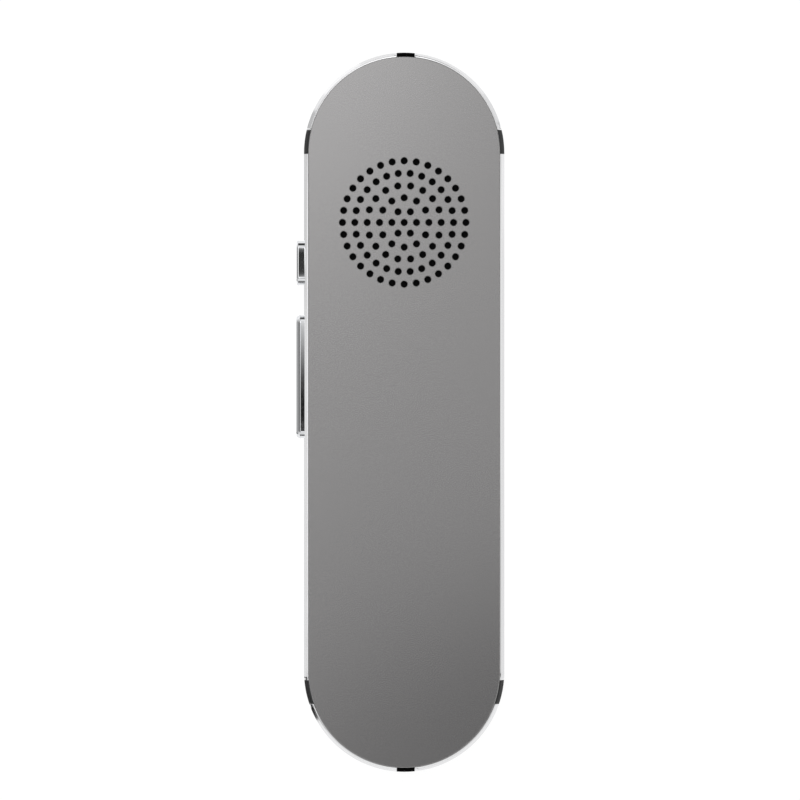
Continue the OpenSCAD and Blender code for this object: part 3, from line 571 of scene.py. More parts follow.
def crown(bm, middle, half, rise):
    """Draws in the long sides of a key towards its ends, in one smooth bow."""
    for vert in bm.verts:
        along = min(abs(vert.co.y - middle) / half, 1)
        vert.co.z = MID_Z + (vert.co.z - MID_Z) * (1 - rise * along ** 2)


def taper(bm, angle):
    """Narrows what stands out of the band by the draft of its mould."""
    bmesh.ops.bisect_plane(
        bm, geom=everything(bm), dist=WELD, plane_co=(-OUTER_R, 0, 0), plane_no=(1, 0, 0),
    )
    for vert in bm.verts:
        proud = max(-OUTER_R - vert.co.x, 0)
        vert.co.z = MID_Z + (vert.co.z - MID_Z) * (1 - 2 * proud * math.tan(angle) / KEY_HEIGHT)


def key_front(node):
    """Where a key's cap ends outside the band."""
    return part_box(node)[0].x - CAP_OUT[node]


def skirt(node):
    """The plain part of a key between its cap and its flange."""
    middle, length = key_span(node)
    cap_back = key_front(node) + CAP_ROUND[node] + CAP_RIM[node] / 2
    back = flange_face[node] + FLANGE_T / 2
    size = (length - 2 * CAP_OVERHANG, KEY_HEIGHT - 2 * CAP_OVERHANG)
    bm = bmesh.new()
    rounded_bar(bm, size, KEY_CORNER - CAP_OVERHANG, back - cap_back, (back, middle, MID_Z))
    long_edges = [e for e in bm.edges if e.calc_length() > length / 2]
    bmesh.ops.subdivide_edges(bm, edges=long_edges, cuts=CROWN_STEPS, use_grid_fill=True)
    crown(bm, middle, size[0] / 2, CROWN[node])
    taper(bm, DRAFT[node])
    return bm


def cap(node):
    """The front of a key: a flat rim, then a face that rounds over step by step."""
    middle, length = key_span(node)
    rim = CAP_RIM[node]
    back = key_front(node) + CAP_ROUND[node] + rim
    bm = bmesh.new()
    rounded_bar(bm, (length, KEY_HEIGHT), KEY_CORNER, rim, (back, middle, MID_Z))
    front = min(bm.faces, key=lambda face: face.calc_center_median().x)
    for step in range(CAP_STEPS):
        lean = CAP_FLAT + (CAP_STEEP - CAP_FLAT) * (step + 0.5) / CAP_STEPS
        depth = CAP_ROUND[node] / CAP_STEPS
        bmesh.ops.inset_region(bm, faces=[front], thickness=depth / math.tan(lean), depth=depth)
    crown(bm, middle, length / 2, CROWN[node])
    return bm


def add_round(bm, radius, height, x, y, back):
    """A rounded arm that reaches from a key's back to a round end."""
    rounded_bar(bm, (2 * radius - FINE_EDGE, height), 0, x - back, (x, y, MID_Z))
    bmesh.ops.translate(bm, verts=cylinder(bm, radius, height), vec=(x, y, MID_Z))


def side_key(name, node, noses):
    """Cap, skirt, flange and noses of one key, the noses at distances from its middle."""
    middle, length = key_base(node)
    back = flange_face[node]
    bm = skirt(node)
    pour(cap(node), bm)
    flange_size = (length, KEY_HEIGHT + 2 * KEY_FLANGE)
    rounded_bar(bm, flange_size, KEY_CORNER, FLANGE_T, (back + FLANGE_T, middle, MID_Z))
    for away in noses:
        add_round(bm, NOSE_R, NOSE_H, PIN_X - NOSE_R, middle + away, back)
    if node == "talk_key":
        add_round(bm, BOSS_R, BOSS_H, PIN_X, PIN_Y, back)
    return to_object(bm, name, KEY_SHARP)


power_cap = side_key("power_key_cap", "power_key", [0])
talk_cap = side_key("talk_key_cap", "talk_key", [-TALK_ARM, TALK_ARM])
print("keys", len(power_cap.data.polygons), len(talk_cap.data.polygons), "faces")

# %% [markdown]
# ## Charging port and status light
#
# The port's shell is one drawn steel tube with a closed back: the front face of a bar is inset
# by the wall and pushed in. Inside stands a black tongue with gold contacts on both sides. The
# status light leaves through a clear rod that bends from the board to the end.

# %% Port shell, tongue and contacts
SHELL_WALL = 0.3 * MM
SHELL_BACK = 0.4 * MM
SHELL_EDGE = 0.08 * MM
SHELL_EDGE_STEPS = 3
TONGUE = (6.6 * MM, 0.7 * MM)
TONGUE_DEPTH = 1.1 * MM
ROOT_L = 0.8 * MM
CONTACTS = 6
CONTACT_PITCH = 1 * MM
CONTACT_SIZE = (0.35 * MM, 3 * MM, 0.06 * MM)
CONTACT_IN = 0.4 * MM

shell_bm = bmesh.new()
port_depth = port_high.y - port_low.y
shell_start = (0, port_high.y, MID_Z)
rounded_bar(shell_bm, (PORT_W, PORT_H), PORT_H / 2, port_depth, shell_start, ENDWAYS)
mouth = min(shell_bm.faces, key=lambda face: face.calc_center_median().y)
bmesh.ops.inset_region(shell_bm, faces=[mouth], thickness=SHELL_WALL, depth=0)
push(shell_bm, [mouth], (0, port_depth - SHELL_BACK, 0))
bmesh.ops.delete(shell_bm, geom=[mouth], context="FACES_ONLY")
port_shell = soften(to_object(shell_bm, "port_shell"), SHELL_EDGE, SHELL_EDGE_STEPS)

tongue_bm = bmesh.new()
tongue_back = port_high.y - SHELL_BACK
tongue_front = port_low.y + TONGUE_DEPTH
rounded_bar(tongue_bm, TONGUE, 0, tongue_back - tongue_front, (0, tongue_back, MID_Z), ENDWAYS)
root = (PORT_W - 2 * SHELL_WALL - 2 * WELD, PORT_H - 2 * SHELL_WALL - 2 * WELD)
rounded_bar(tongue_bm, root, root[1] / 2, ROOT_L, (0, tongue_back, MID_Z), ENDWAYS)
port_tongue = soften(to_object(tongue_bm, "port_tongue"))

contacts_bm = bmesh.new()
for side in (-1, 1):
    for i in range(CONTACTS):
        place = Matrix.Translation((
            (i - (CONTACTS - 1) / 2) * CONTACT_PITCH,
            tongue_front + CONTACT_IN + CONTACT_SIZE[1] / 2,
            MID_Z + side * (TONGUE[1] + CONTACT_SIZE[2]) / 2,
        ))
        bmesh.ops.create_cube(contacts_bm, size=1, matrix=place @ Matrix.Diagonal((*CONTACT_SIZE, 1)))
port_contacts = to_object(contacts_bm, "port_contacts")
print("port made")

# %% Light rod
BEND_R = 1 * MM
BEND_STEPS = 8
rod_foot = Vector((PIPE_X, pipe_low.y + PIPE_R, pipe_low.z))

rod_bm = bmesh.new()
ring = bmesh.ops.create_circle(rod_bm, cap_ends=True, segments=BORE_STEPS, radius=PIPE_R)["verts"]
bmesh.ops.translate(rod_bm, verts=ring, vec=rod_foot)
rise = PIPE_Z - BEND_R - rod_foot.z
top = only(BMFace, push(rod_bm, rod_bm.faces[:], (0, 0, rise)))
bend_centre = rod_foot + Vector((0, BEND_R, rise))
turned = bmesh.ops.spin(
    rod_bm, geom=top, cent=bend_centre, axis=(-1, 0, 0), angle=math.pi / 2, steps=BEND_STEPS,
)["geom_last"]
end_face = only(BMFace, turned)
push(rod_bm, end_face, (0, pipe_high.y - rod_foot.y - BEND_R, 0))
bmesh.ops.delete(rod_bm, geom=top + end_face, context="FACES_ONLY")
light_rod = soften(to_object(rod_bm, "light_rod"))
print("rod", len(light_rod.data.polygons), "faces")

# %% [markdown]
# ## Finishes
#
# Colours are sRGB hex, turned to linear for the shader. One helper adds a node. Others place a
# pattern's blotches, and let it lift, dull and tint the surface. Every pattern is scaled from a
# real size in millimetres and lies in object coordinates, so it moves with the piece.

# %% Colours and node helpers
def linear(hex_colour):
    """An sRGB hex colour as linear RGBA."""
    channels = [int(hex_colour[i:i + 2], 16) / 255 for i in (1, 3, 5)]
    return [c / 12.92 if c <= 0.04045 else ((c + 0.055) / 1.055) ** 2.4 for c in channels] + [1]


def add(tree, kind, values=None, links=None, **settings):
    """Adds a shader node with its settings, socket values and incoming links."""
    node = tree.nodes.new("ShaderNode" + kind)
    for name, value in settings.items():
        setattr(node, name, value)
    for name, value in (values or {}).items():
        node.inputs[name].default_value = value
    for name, socket in (links or {}).items():
        tree.links.new(socket, node.inputs[name])
    return node


finishes = {}


def finish(slot, name, colour, metallic, roughness, **extra):
    """Makes a slot's material with even values, and returns its node tree."""
    material = bpy.data.materials.new(name)
    material.use_nodes = True
    shader = material.node_tree.nodes["Principled BSDF"]
    values = {"Base Color": linear(colour), "Metallic": metallic, "Roughness": roughness, **extra}
    for socket, value in values.items():
        shader.inputs[socket].default_value = value
    finishes[slot] = material
    return material.node_tree


def blotches(tree, size, stretch=(1, 1, 1), detail=2):
    """Noise whose blotches are about size across, drawn out by stretch along each axis."""
    place = add(tree, "TexCoord").outputs["Object"]
    scale = [1 / (size * factor) for factor in stretch]
    mapped = add(tree, "Mapping", {"Scale": scale}, {"Vector": place}).outputs["Vector"]
    noise = add(tree, "TexNoise", {"Scale": 1, "Detail": detail}, {"Vector": mapped})
    return noise.outputs["Fac"]


def feed(tree, socket, field, node="Principled BSDF"):
    """Links a socket to a field of the material's shader, or of another node."""
    tree.links.new(socket, tree.nodes[node].inputs[field])


def lift(tree, pattern, depth, strength):
    """Raises the surface by depth where the pattern is bright."""
    values = {"Strength": strength, "Distance": depth}
    feed(tree, add(tree, "Bump", values, {"Height": pattern}).outputs["Normal"], "Normal")


def dull(tree, pattern, low, high):
    """Lets roughness wander between two values with the pattern."""
    values = {"From Min": 0.3, "From Max": 0.7, "To Min": low, "To Max": high}
    feed(tree, add(tree, "MapRange", values, {"Value": pattern}).outputs["Result"], "Roughness")


def tint(tree, pattern, dark, light, low=0.35, high=0.65):
    """Lets the colour wander between two with the pattern."""
    spread = add(tree, "MapRange", {"From Min": low, "From Max": high}, {"Value": pattern})
    values = {"Color1": linear(dark), "Color2": linear(light)}
    mixed = add(tree, "MixRGB", values, {"Fac": spread.outputs["Result"]})
    feed(tree, mixed.outputs["Color"], "Base Color")


print("white is", linear("#ffffff"))

# %% [markdown]
# ### Outside metals
#
# The covers are aluminium, blasted with fine glass beads and anodised grey: the beads leave
# dimples of about a tenth of a millimetre, so a lamp becomes a wide soft glow that fades across
# the plate. The band is the same metal polished, with faint lines round it from the wheel. The
# keys are moulded plastic with chrome plate, the one mirror on the object.

# %% Aluminium and chrome
DIMPLE = 0.12 * MM
# The dimples are too fine to show in the colour, so its grain is drawn coarser.
COVER_GRAIN = 0.3 * MM
WHEEL_LINE = 0.05 * MM
WHEEL_RUN = (200, 200, 1)
POLISH_PATCH = 6 * MM
MOULD_WAVE = 2.5 * MM
PLATE_CLOUD = 1.2 * MM


def blasted_aluminium():
    """Grey anodised and bead-blasted: matt, with a glow as wide as a hand."""
    tree = finish("cover_metal", "Bead-blasted anodised aluminium", "#939292", 1, 0.27)
    beads = blotches(tree, DIMPLE, detail=3)
    lift(tree, beads, 0.004 * MM, 0.5)
    dull(tree, beads, 0.26, 0.28)
    tint(tree, blotches(tree, COVER_GRAIN, detail=4), "#908f90", "#969594")


def polished_aluminium():
    """Wheel-polished and clear anodised: bright, with hair-fine lines along the band."""
    tree = finish("band_metal", "Polished clear-anodised aluminium", "#e9e9ea", 1, 0.12)
    lift(tree, blotches(tree, WHEEL_LINE, WHEEL_RUN), 0.0003 * MM, 0.3)
    dull(tree, blotches(tree, POLISH_PATCH, detail=4), 0.1, 0.14)


def chrome_plate():
    """Bright chrome over moulded plastic: a mirror with the faint wave of the moulding."""
    tree = finish("key_metal", "Chrome-plated ABS", "#e4e5e7", 1, 0.05)
    lift(tree, blotches(tree, MOULD_WAVE), 0.002 * MM, 0.25)
    dull(tree, blotches(tree, PLATE_CLOUD, detail=4), 0.04, 0.075)


for make in (blasted_aluminium, polished_aluminium, chrome_plate):
    make()
print(len(finishes), "outside metals")

# %% [markdown]
# ### Mouldings
#
# Plastic parts differ in colour, gloss and the texture of their mould. One recipe makes them
# all: a base colour that wanders a little, as pigment does, and a fine grain. The side breaks
# keep a satin face. The two end breaks are dead matt, because the microphone, the light and the
# port sit in them.

# %% Plastics and rubbers
GLOSS_PATCH = 20
COLOUR_PATCH = 8
BREAK_GLOSS = {"break_plastic": {"IOR": 1.55}, "end_break": {"Specular IOR Level": 0.02}}


def moulded(slot, name, colour, pale, roughness, grain, depth):
    """Injection-moulded plastic with its mould's spark-eroded grain, given in mm."""
    tree = finish(slot, name, colour, 0, roughness, **BREAK_GLOSS.get(slot, {}))
    grain *= MM
    lift(tree, blotches(tree, grain, detail=3), depth * MM, 0.4)
    dull(tree, blotches(tree, GLOSS_PATCH * grain, detail=3), roughness * 0.9, roughness * 1.12)
    tint(tree, blotches(tree, COLOUR_PATCH * grain, detail=4), colour, pale)


PLASTICS = {
    # slot: name, two colours, roughness, grain and its depth
    # A thin grey sheen along the edges, on black.
    "break_plastic": ("Satin black polycarbonate", "#0e0e0f", "#131314", 0.3, 0.1, 0.003),
    # Black that gives no light back, so that the holes in it hardly show.
    "end_break": ("Dead-matt black polycarbonate", "#020202", "#040404", 0.6, 0.1, 0.005),
    # Dark grey and dry, with the grain of its glass fibres.
    "chassis_plastic": ("Glass-filled nylon", "#232427", "#2c2d31", 0.55, 0.15, 0.01),
    # Black, between satin and matt.
    "switch_plastic": ("Black liquid-crystal polymer", "#141416", "#1c1c1f", 0.42, 0.08, 0.003),
    # Milky white and a little waxy.
    "plunger_plastic": ("Natural acetal", "#e4e1d8", "#ece9e1", 0.35, 0.1, 0.002),
    # Cream, and duller than the plungers.
    "socket_nylon": ("Natural nylon", "#e3dfd2", "#ece8dc", 0.4, 0.1, 0.003),
    # Charcoal and matt, like slate.
    "chip_epoxy": ("Moulded epoxy compound", "#161617", "#202022", 0.6, 0.05, 0.004),
    # Dark grey with a plain, even grain.
    "speaker_frame": ("Glass-filled ABS", "#28292c", "#313236", 0.5, 0.12, 0.006),
    # Black and dull: a lamp leaves only a haze on it.
    "soft_rubber": ("Moulded silicone rubber", "#121213", "#19191a", 0.72, 0.2, 0.006),
    # Red with the long sheen of a smooth skin.
    "lead_pvc": ("Extruded PVC insulation", "#8e1f1a", "#9e2822", 0.38, 0.3, 0.003),
    # Nearly white and smooth.
    "light_white": ("White LED package", "#eef0ea", "#f5f6f2", 0.3, 0.05, 0.001),
}
for slot, recipe in PLASTICS.items():
    moulded(slot, *recipe)
print(len(finishes), "finishes so far")

# %% [markdown]
# ### Plated and drawn metals inside
#
# Screws, shields and contacts came from a press or a lathe and went through a plating bath.
# What tells them apart is colour, gloss and which way the tool's fine lines run.

# %% Plated metals
LINE_DEPTH = 0.002 * MM
PLATING_CLOUD = 3 * MM


def plated(slot, name, colour, pale, roughness, line, stretch):
    """Pressed or turned metal, with the tool's lines, given in mm, under the plate."""
    tree = finish(slot, name, colour, 1, roughness)
    lines = blotches(tree, line * MM, stretch, detail=3)
    lift(tree, lines, LINE_DEPTH, 0.4)
    dull(tree, lines, roughness * 0.85, roughness * 1.25)
    tint(tree, blotches(tree, PLATING_CLOUD, detail=4), colour, pale)


EVEN = (1, 1, 1)
ALONG_X = (12, 1, 1)
ALONG_Y = (1, 12, 1)
ROUND_Z = (12, 12, 1)
PLATED_METALS = {
    # slot: name, two colours, roughness, width of the lines and their run
    # Cool grey with fine turned rings.
    "steel": ("Zinc-plated steel", "#a6a9ad", "#b4b7ba", 0.32, 0.08, ROUND_Z),
    # Brighter grey, with drawn lines that run into the port.
    "port_steel": ("Tumbled stainless steel", "#c3c5c8", "#cfd1d3", 0.24, 0.1, ALONG_Y),
    # Soft silver grey with rolled lines one way.
    "shield_tin": ("Tin-plated sheet steel", "#bfc1c3", "#cacbcd", 0.36, 0.12, ALONG_X),
    # A warm yellow shine.
    "gold_plate": ("Gold-plated bronze", "#c99f4a", "#d8b15c", 0.25, 0.08, ALONG_Y),
    # Bright grey, faintly yellow, with no lines.
    "magnet_plate": ("Nickel-plated neodymium", "#b5b2ac", "#c2bfb9", 0.22, 0.2, EVEN),
}
for slot, recipe in PLATED_METALS.items():
    plated(slot, *recipe)
print(len(finishes), "finishes so far")

# %% [markdown]
# ### Board, battery and loudspeaker
#
# These have patterns of their own: copper tracks under green lacquer, the orange peel of a
# battery pouch, cells in foam, turns of wire, fibres in paper, and the threads of the dust mesh,
# two waves that cross.

# %% Patterned finishes
TRACK_PITCH = 1.6 * MM
PEEL = 0.7 * MM
POUCH_CLOUD = 9 * MM
FOAM_CELL = 0.35 * MM
CREASE = 2 * MM
WIRE_PITCH = 0.1 * MM
FIBRE = 0.12 * MM
THREAD_PITCH = 0.2 * MM
FLOW_LINE = 0.5 * MM
ROD_CLOUD = 0.6 * MM
WAVE_UNIT = math.pi / 10    # a wave texture of scale 1 repeats after this length


def stripes(tree, pitch, axis):
    """Bright and dark stripes at one pitch across an axis."""
    place = add(tree, "TexCoord").outputs["Object"]
    values = {"Scale": WAVE_UNIT / pitch}
    return add(tree, "TexWave", values, {"Vector": place}, bands_direction=axis).outputs["Fac"]


def circuit_board():
    """Glass-epoxy laminate under solder mask: tracks show as paler, slightly raised paths."""
    tree = finish("board_laminate", "Solder-masked glass-epoxy board", "#14402a", 0, 0.3)
    place = add(tree, "TexCoord").outputs["Object"]
    cells = add(tree, "TexVoronoi", {"Scale": 1 / TRACK_PITCH}, {"Vector": place}, distance="CHEBYCHEV")
    tracks = cells.outputs["Distance"]
    lift(tree, tracks, 0.02 * MM, 0.5)
    tint(tree, tracks, "#123a26", "#1d5436", 0.3, 0.5)


def battery_pouch():
    """Aluminium foil laminated in nylon: grey satin with a fine embossed orange peel."""
    tree = finish("cell_pouch", "Laminated aluminium pouch", "#54575d", 0.6, 0.36)
    peel = blotches(tree, PEEL)
    lift(tree, peel, 0.03 * MM, 0.5)
    dull(tree, peel, 0.32, 0.42)
    tint(tree, blotches(tree, POUCH_CLOUD, detail=4), "#4e5157", "#5b5e64")


def cell_foam():
    """Open-cell polyurethane foam: black, matt, full of small pits, with painted shade in them."""
    tree = finish("foam", "Polyurethane foam", "#1b1b1d", 0, 0.9)
    place = add(tree, "TexCoord").outputs["Object"]
    pits = add(tree, "TexVoronoi", {"Scale": 1 / FOAM_CELL}, {"Vector": place}).outputs["Distance"]
    lift(tree, pits, 0.12 * MM, 0.8)
    # Painted shade: the colour is darkest at the bottom of each pit.
    tint(tree, pits, "#0c0c0d", "#2a2a2d", 0.1, 0.6)


def amber_film():
    """Polyimide tape: clear amber film with a gloss and faint creases."""
    gloss = {"Coat Weight": 0.4}
    tree = finish("amber_tape", "Polyimide film tape", "#b9701e", 0, 0.2, **gloss)
    creases = blotches(tree, CREASE, (6, 1, 1), detail=4)
    lift(tree, creases, 0.03 * MM, 0.4)
    tint(tree, creases, "#a8621a", "#c98330")


def coil_wire():
    """Wound enamelled copper: reddish brown, with a painted highlight on each turn and painted shade
    between.
    """
    tree = finish("coil_copper", "Enamelled copper winding", "#a85a2a", 1, 0.28)
    turns = stripes(tree, WIRE_PITCH, "Z")
    lift(tree, turns, 0.03 * MM, 0.8)
    # Painted highlight and shade: the colour runs from dark between the turns to light on top of each
    # turn.
    tint(tree, turns, "#6e3516", "#bd6c36", 0, 1)


def cone_paper():
    """Pressed paper pulp, dyed black: felted fibres a millimetre long."""
    tree = finish("cone_paper", "Pressed paper pulp", "#1d1e21", 0, 0.85)
    fibres = blotches(tree, FIBRE, (8, 1, 1), detail=4)
    lift(tree, fibres, 0.02 * MM, 0.7)
    tint(tree, fibres, "#16171a", "#2b2c30")


def dust_mesh():
    """Woven polyester monofilament: black threads over and under, with painted shade in the holes."""
    sheen = {"Specular IOR Level": 0.2}
    tree = finish("mesh_cloth", "Woven polyester mesh", "#070708", 0, 0.8, **sheen)
    warp = stripes(tree, THREAD_PITCH, "X")
    weft = stripes(tree, THREAD_PITCH, "Y")
    crossed = add(tree, "Math", links={0: warp, 1: weft}, operation="MULTIPLY").outputs["Value"]
    lift(tree, crossed, 0.05 * MM, 0.8)
    # Painted shade: the colour darkens in the holes, away from where the threads cross.
    tint(tree, crossed, "#030303", "#101012", 0, 1)


def clear_rod():
    """Clear moulded acrylic that carries light: glassy, with faint flow lines."""
    glass = {"Transmission Weight": 0.9, "IOR": 1.49}
    tree = finish("light_clear", "Clear moulded acrylic", "#f2f6f7", 0, 0.08, **glass)
    lift(tree, blotches(tree, FLOW_LINE, (1, 6, 1)), 0.002 * MM, 0.3)
    dull(tree, blotches(tree, ROD_CLOUD), 0.06, 0.12)


for make in (circuit_board, battery_pouch, cell_foam, amber_film):
    make()
for make in (coil_wire, cone_paper, dust_mesh, clear_rod):
    make()
print(len(finishes), "finishes")

# %% [markdown]
# ## Dressing the object
#
# Each new piece rides on its solid's body, so the keys still move, and takes the solid's place.
# A modifier weighs the normals by the size of the faces round them, so a flat face stays flat
# beside a small rounding. The solids inside stay, and get the finish of their slot.

# %% Seat the new pieces
def seat(piece, slot, *replaced, body="housing", paint=None):
    """Gives a piece its finish, its body and the solids that it stands for."""
    piece.data.materials.clear()
    piece.data.materials.append(finishes[paint or slot])
    flatten = piece.modifiers.new("flat faces stay flat", "WEIGHTED_NORMAL")
    flatten.keep_sharp = True
    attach(piece, body)
    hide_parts(*replaced)
    print(piece.name, len(piece.data.polygons), "faces")


for node, piece in band_lengths.items():
    seat(piece, "band_metal", node)
for node, piece in breaks.items():
    at_end = node in ("break_top", "break_bottom")
    seat(piece, "break_plastic", node, paint="end_break" if at_end else None)
seat(front_cover, "cover_metal", "front_cover")
seat(back_cover, "cover_metal", "back_cover")
seat(power_cap, "key_metal", "power_key", body="power_key")
seat(talk_cap, "key_metal", "talk_key", body="talk_key")
seat(port_shell, "port_steel", "usb_shell")
seat(port_tongue, "switch_plastic", "usb_tongue")
seat(port_contacts, "gold_plate")
seat(light_rod, "light_clear", "light_pipe")

# %% Finish the solids that stay
for solid in nodes.values():
    for place in solid.material_slots:
        place.material = finishes.get(place.material.name, place.material)
print("every solid has a finish")

# %% [markdown]
# ## Table, light and camera
#
# The object lies on a white table and is looked at from straight above. Table and surroundings
# are white to the eye and to anything that mirrors them, and the table keeps a breath of the
# object's shadow. From below it is clear, so that the back can be looked at, and it lies a hair
# under the back cover, because two faces in one plane flicker. Metal shows what stands round it,
# so the light is built from what it sees: a large silk overhead, and low cards round the table,
# black, grey or bright, that draw the lines and shades in the polished edges.

# %% Camera
CAMERA_X = -0.81 * MM
CAMERA_Y = 2.38 * MM
CAMERA_HEIGHT = 550 * MM
FRAME_WIDTH = 155.5 * MM
NEAREST = 10 * MM

lens = bpy.data.cameras.new("camera")
lens.angle = 2 * math.atan(FRAME_WIDTH / 2 / CAMERA_HEIGHT)
lens.clip_start = NEAREST
camera = bpy.data.objects.new("camera", lens)
camera.location = (CAMERA_X, CAMERA_Y, TOP_Z + CAMERA_HEIGHT)
scene.collection.objects.link(camera)
scene.camera = camera
print("camera sees", round(FRAME_WIDTH / MM, 1), "mm across the cover")

# %% White surroundings
def seen(tree):
    """One for rays that end in the eye, a mirror or glass, and zero for the rest."""
    path = add(tree, "LightPath").outputs
    most = path["Is Camera Ray"]
    for ray in ("Is Glossy Ray", "Is Transmission Ray"):
        most = add(tree, "Math", links={0: most, 1: path[ray]}, operation="MAXIMUM").outputs["Value"]
    return most


AMBIENT = 0.45
world = bpy.data.worlds.new("white room")
world.use_nodes = True
scene.world = world
room = world.node_tree
room.nodes.clear()
lit = add(room, "Background", {"Strength": AMBIENT}).outputs["Background"]
white = add(room, "Background", {"Color": (1, 1, 1, 1), "Strength": 1}).outputs["Background"]
both = add(room, "MixShader", links={0: seen(room), 1: lit, 2: white}).outputs["Shader"]
add(room, "OutputWorld", links={"Surface": both})
print("room ready")

# %% Table
TABLE_GLOW = 0.95
SHEET_SIZE = 4
TABLE_GAP = 0.05 * MM
TABLE_TONE = "#e8e8e8"
TABLE_ROUGHNESS = 0.8
SHADOW_TONE = "#5a5a5a"


def stage_sheet(name, centre, material):
    """A flat square of the studio."""
    bm = bmesh.new()
    bmesh.ops.create_grid(bm, x_segments=1, y_segments=1, size=SHEET_SIZE / 2)
    bmesh.ops.translate(bm, verts=bm.verts, vec=centre)
    sheet = to_object(bm, name)
    sheet.data.materials.append(material)
    return sheet


# White laminate is matt: it mirrors nothing and takes only the object's shadow.
table_tree = finish("table", "White laminate", TABLE_TONE, 0, TABLE_ROUGHNESS)
shadow = add(table_tree, "BsdfDiffuse", {"Color": linear(SHADOW_TONE)}).outputs["BSDF"]
glow = add(table_tree, "Emission", {"Strength": TABLE_GLOW}).outputs["Emission"]
pale = add(table_tree, "AddShader", links={0: glow, 1: shadow}).outputs["Shader"]
plain = table_tree.nodes["Principled BSDF"].outputs["BSDF"]
top = add(table_tree, "MixShader", links={0: seen(table_tree), 1: plain, 2: pale}).outputs["Shader"]
underside = add(table_tree, "NewGeometry").outputs["Backfacing"]
clear = add(table_tree, "BsdfTransparent").outputs["BSDF"]
table_mix = add(table_tree, "MixShader", links={0: underside, 1: top, 2: clear})
feed(table_tree, table_mix.outputs["Shader"], "Surface", "Material Output")
stage_sheet("table", (0, 0, -TABLE_GAP), finishes["table"])
print("table ready")

# %% [markdown]
# The silk is a sheet overhead that only reflections see. It is evenly lit, but for patches: a
# strip lamp that brightens the cover from the upper left, a black flag that darkens it at the
# lower right, and flags and lights for the keys and the band, each where its polished face
# looks.

# %% Silk
SILK_HEIGHT = 0.4
SILK_LEVEL = 0.85
PATCH_EDGE = (0.4, 1.3)
PATCHES = {
    # name: centre, half length and half width, turn in degrees, brightness
    "strip lamp": ((-0.066, 0.068), (0.29, 0.046), 64, 2.6),
    "black flag": ((0.06, -0.104), (0.167, 0.043), 19, 0),
    "power key core": ((-0.105, 0.048), (0.04, 0.1), 0, 0.02),
    "talk key core": ((-0.178, -0.045), (0.038, 0.1), 0, 0.015),
    "cap band near": ((-0.47, 0.03), (0.17, 0.3), 0, 0.2),
    "cap band far": ((-1.3, 0), (0.8, 0.8), 0, 0.5),
    "north flag": ((-0.02, 0.76), (0.35, 0.3), 0, 0.05),
    "south flag": ((-0.02, -0.8), (0.35, 0.25), 0, 0.15),
    "left rail": ((-0.245, 0), (0.03, 0.12), 0, 1.45),
    "right rail": ((0.245, 0.05), (0.03, 0.12), 0, 1.2),
    "upper left arc": ((-0.24, 0.15), (0.05, 0.065), 0, 0.52),
    "upper left shine": ((-0.135, 0.3), (0.07, 0.05), -25, 1.35),
    "upper right shine": ((0.155, 0.288), (0.08, 0.06), 35, 1.3),
    "upper right arc": ((0.242, 0.15), (0.05, 0.065), 0, 0.68),
    "lower shine": ((0.02, -0.34), (0.17, 0.09), 0, 1.3),
    "lower left block": ((-0.228, -0.192), (0.06, 0.07), 0, 0),
}


def only_mirrored(card):
    """Hides a studio sheet from everything but reflections."""
    for ray in ("camera", "diffuse", "transmission", "volume_scatter", "shadow"):
        setattr(card, "visible_" + ray, False)


def glowing(name):
    """A material that only shines, with the socket of its strength."""
    material = bpy.data.materials.new(name)
    material.use_nodes = True
    tree = material.node_tree
    tree.nodes.remove(tree.nodes["Principled BSDF"])
    light = add(tree, "Emission")
    feed(tree, light.outputs["Emission"], "Surface", "Material Output")
    return material, light.inputs["Strength"]


def patch(tree, centre, half, turn, level):
    """One soft-edged ellipse: its level inside, one outside."""
    place = add(tree, "TexCoord").outputs["Object"]
    values = {"Location": (*centre, 0), "Rotation": (0, 0, math.radians(turn)), "Scale": (*half, 1)}
    mapped = add(tree, "Mapping", values, {"Vector": place}, vector_type="TEXTURE").outputs["Vector"]
    flat = add(tree, "VectorMath", {1: (1, 1, 0)}, {0: mapped}, operation="MULTIPLY").outputs["Vector"]
    reach = add(tree, "VectorMath", links={0: flat}, operation="LENGTH").outputs["Value"]
    values = {"From Min": PATCH_EDGE[0], "From Max": PATCH_EDGE[1], "To Min": level, "To Max": 1}
    faded = add(tree, "MapRange", values, {"Value": reach}, interpolation_type="SMOOTHSTEP")
    return faded.outputs["Result"]


silk_cloth, silk_strength = glowing("Lit silk")
silk_tree = silk_cloth.node_tree
brightness = add(silk_tree, "Value").outputs["Value"]
brightness.default_value = SILK_LEVEL
for shape in PATCHES.values():
    factors = {0: brightness, 1: patch(silk_tree, *shape)}
    brightness = add(silk_tree, "Math", links=factors, operation="MULTIPLY").outputs["Value"]
silk_tree.links.new(brightness, silk_strength)
only_mirrored(stage_sheet("overhead_silk", (0, 0, SILK_HEIGHT), silk_cloth))
print(len(PATCHES), "patches on the silk")

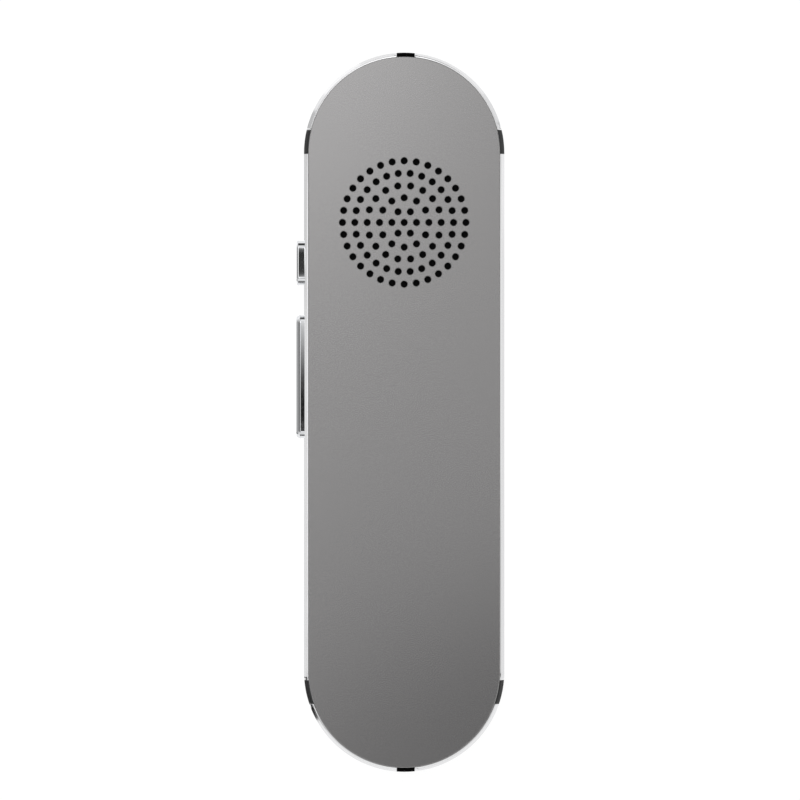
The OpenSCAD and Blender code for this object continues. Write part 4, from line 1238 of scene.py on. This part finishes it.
# %% Low cards
CARD_RADIUS = 0.6
CARD_SPACING = 0.01
CARD_STEPS = 24
CARDS = {
    # name: first bearing and turn, lower and upper edge as elevations, brightness
    "north_card": (60, 60, 7, 26, 0.04),
    "south_card": (-120, 60, 0, 20, 0.03),
    "east_card": (-22, 44, 1, 12, 0.9),
    "west_card": (166, 28, 1, 12, 0.9),
    "upper_left_card": (146, 16, 0, 8, 0.55),
    "upper_left_light": (112, 24, 0, 7, 1.2),
    "upper_right_card": (12, 16, 0, 8, 0.6),
    "lower_light": (-138, 108, 0, 7, 1),
    "block_card": (-164, 22, -3, 12, 0),
    "upper_left_rail_card": (166, 9.6, 1, 12, 0.75),
    "upper_right_light": (7.3, 4.7, 1, 12, 1.03),
    "upper_right_shade": (28, 17, -2, 8, 0.87),
}


def standing_card(name, radius, start, turn, low, high, level):
    """A card bent round the object, from one bearing through a turn."""
    bm = bmesh.new()
    bearing = Vector((math.cos(math.radians(start)), math.sin(math.radians(start)), 0))
    heights = [radius * math.tan(math.radians(edge)) for edge in (low, high)]
    ends = [bm.verts.new(bearing * radius + Vector((0, 0, z))) for z in heights]
    edge = bm.edges.new(ends)
    angle = math.radians(turn)
    bmesh.ops.spin(bm, geom=ends + [edge], axis=(0, 0, 1), angle=angle, steps=CARD_STEPS)
    card = to_object(bm, name)
    paint, strength = glowing("Card " + name)
    strength.default_value = level
    card.data.materials.append(paint)
    only_mirrored(card)


for place, (name, edges) in enumerate(CARDS.items()):
    standing_card(name, CARD_RADIUS - place * CARD_SPACING, *edges)
print(len(CARDS), "cards")

# %% Soft lamp
LAMP_SIZE = 1.2
LAMP_AT = (-0.25, 0.45, 1.5)
LAMP_POWER = 13

lamp_data = bpy.data.lights.new("soft_lamp", "AREA")
lamp_data.shape = "SQUARE"
lamp_data.size = LAMP_SIZE
lamp_data.energy = LAMP_POWER
lamp = bpy.data.objects.new("soft_lamp", lamp_data)
lamp.location = LAMP_AT
lamp.rotation_euler = (-Vector(LAMP_AT)).to_track_quat("-Z", "Y").to_euler()
lamp.visible_glossy = False
lamp.visible_camera = False
scene.collection.objects.link(lamp)
print("lamp of", LAMP_POWER, "W")

# %% [markdown]
# ## Colour handling
#
# The view shows colours as they are written, with no film curve laid over them.

# %% Colour handling
scene.view_settings.view_transform = "Standard"
bpy.context.view_layer.update()
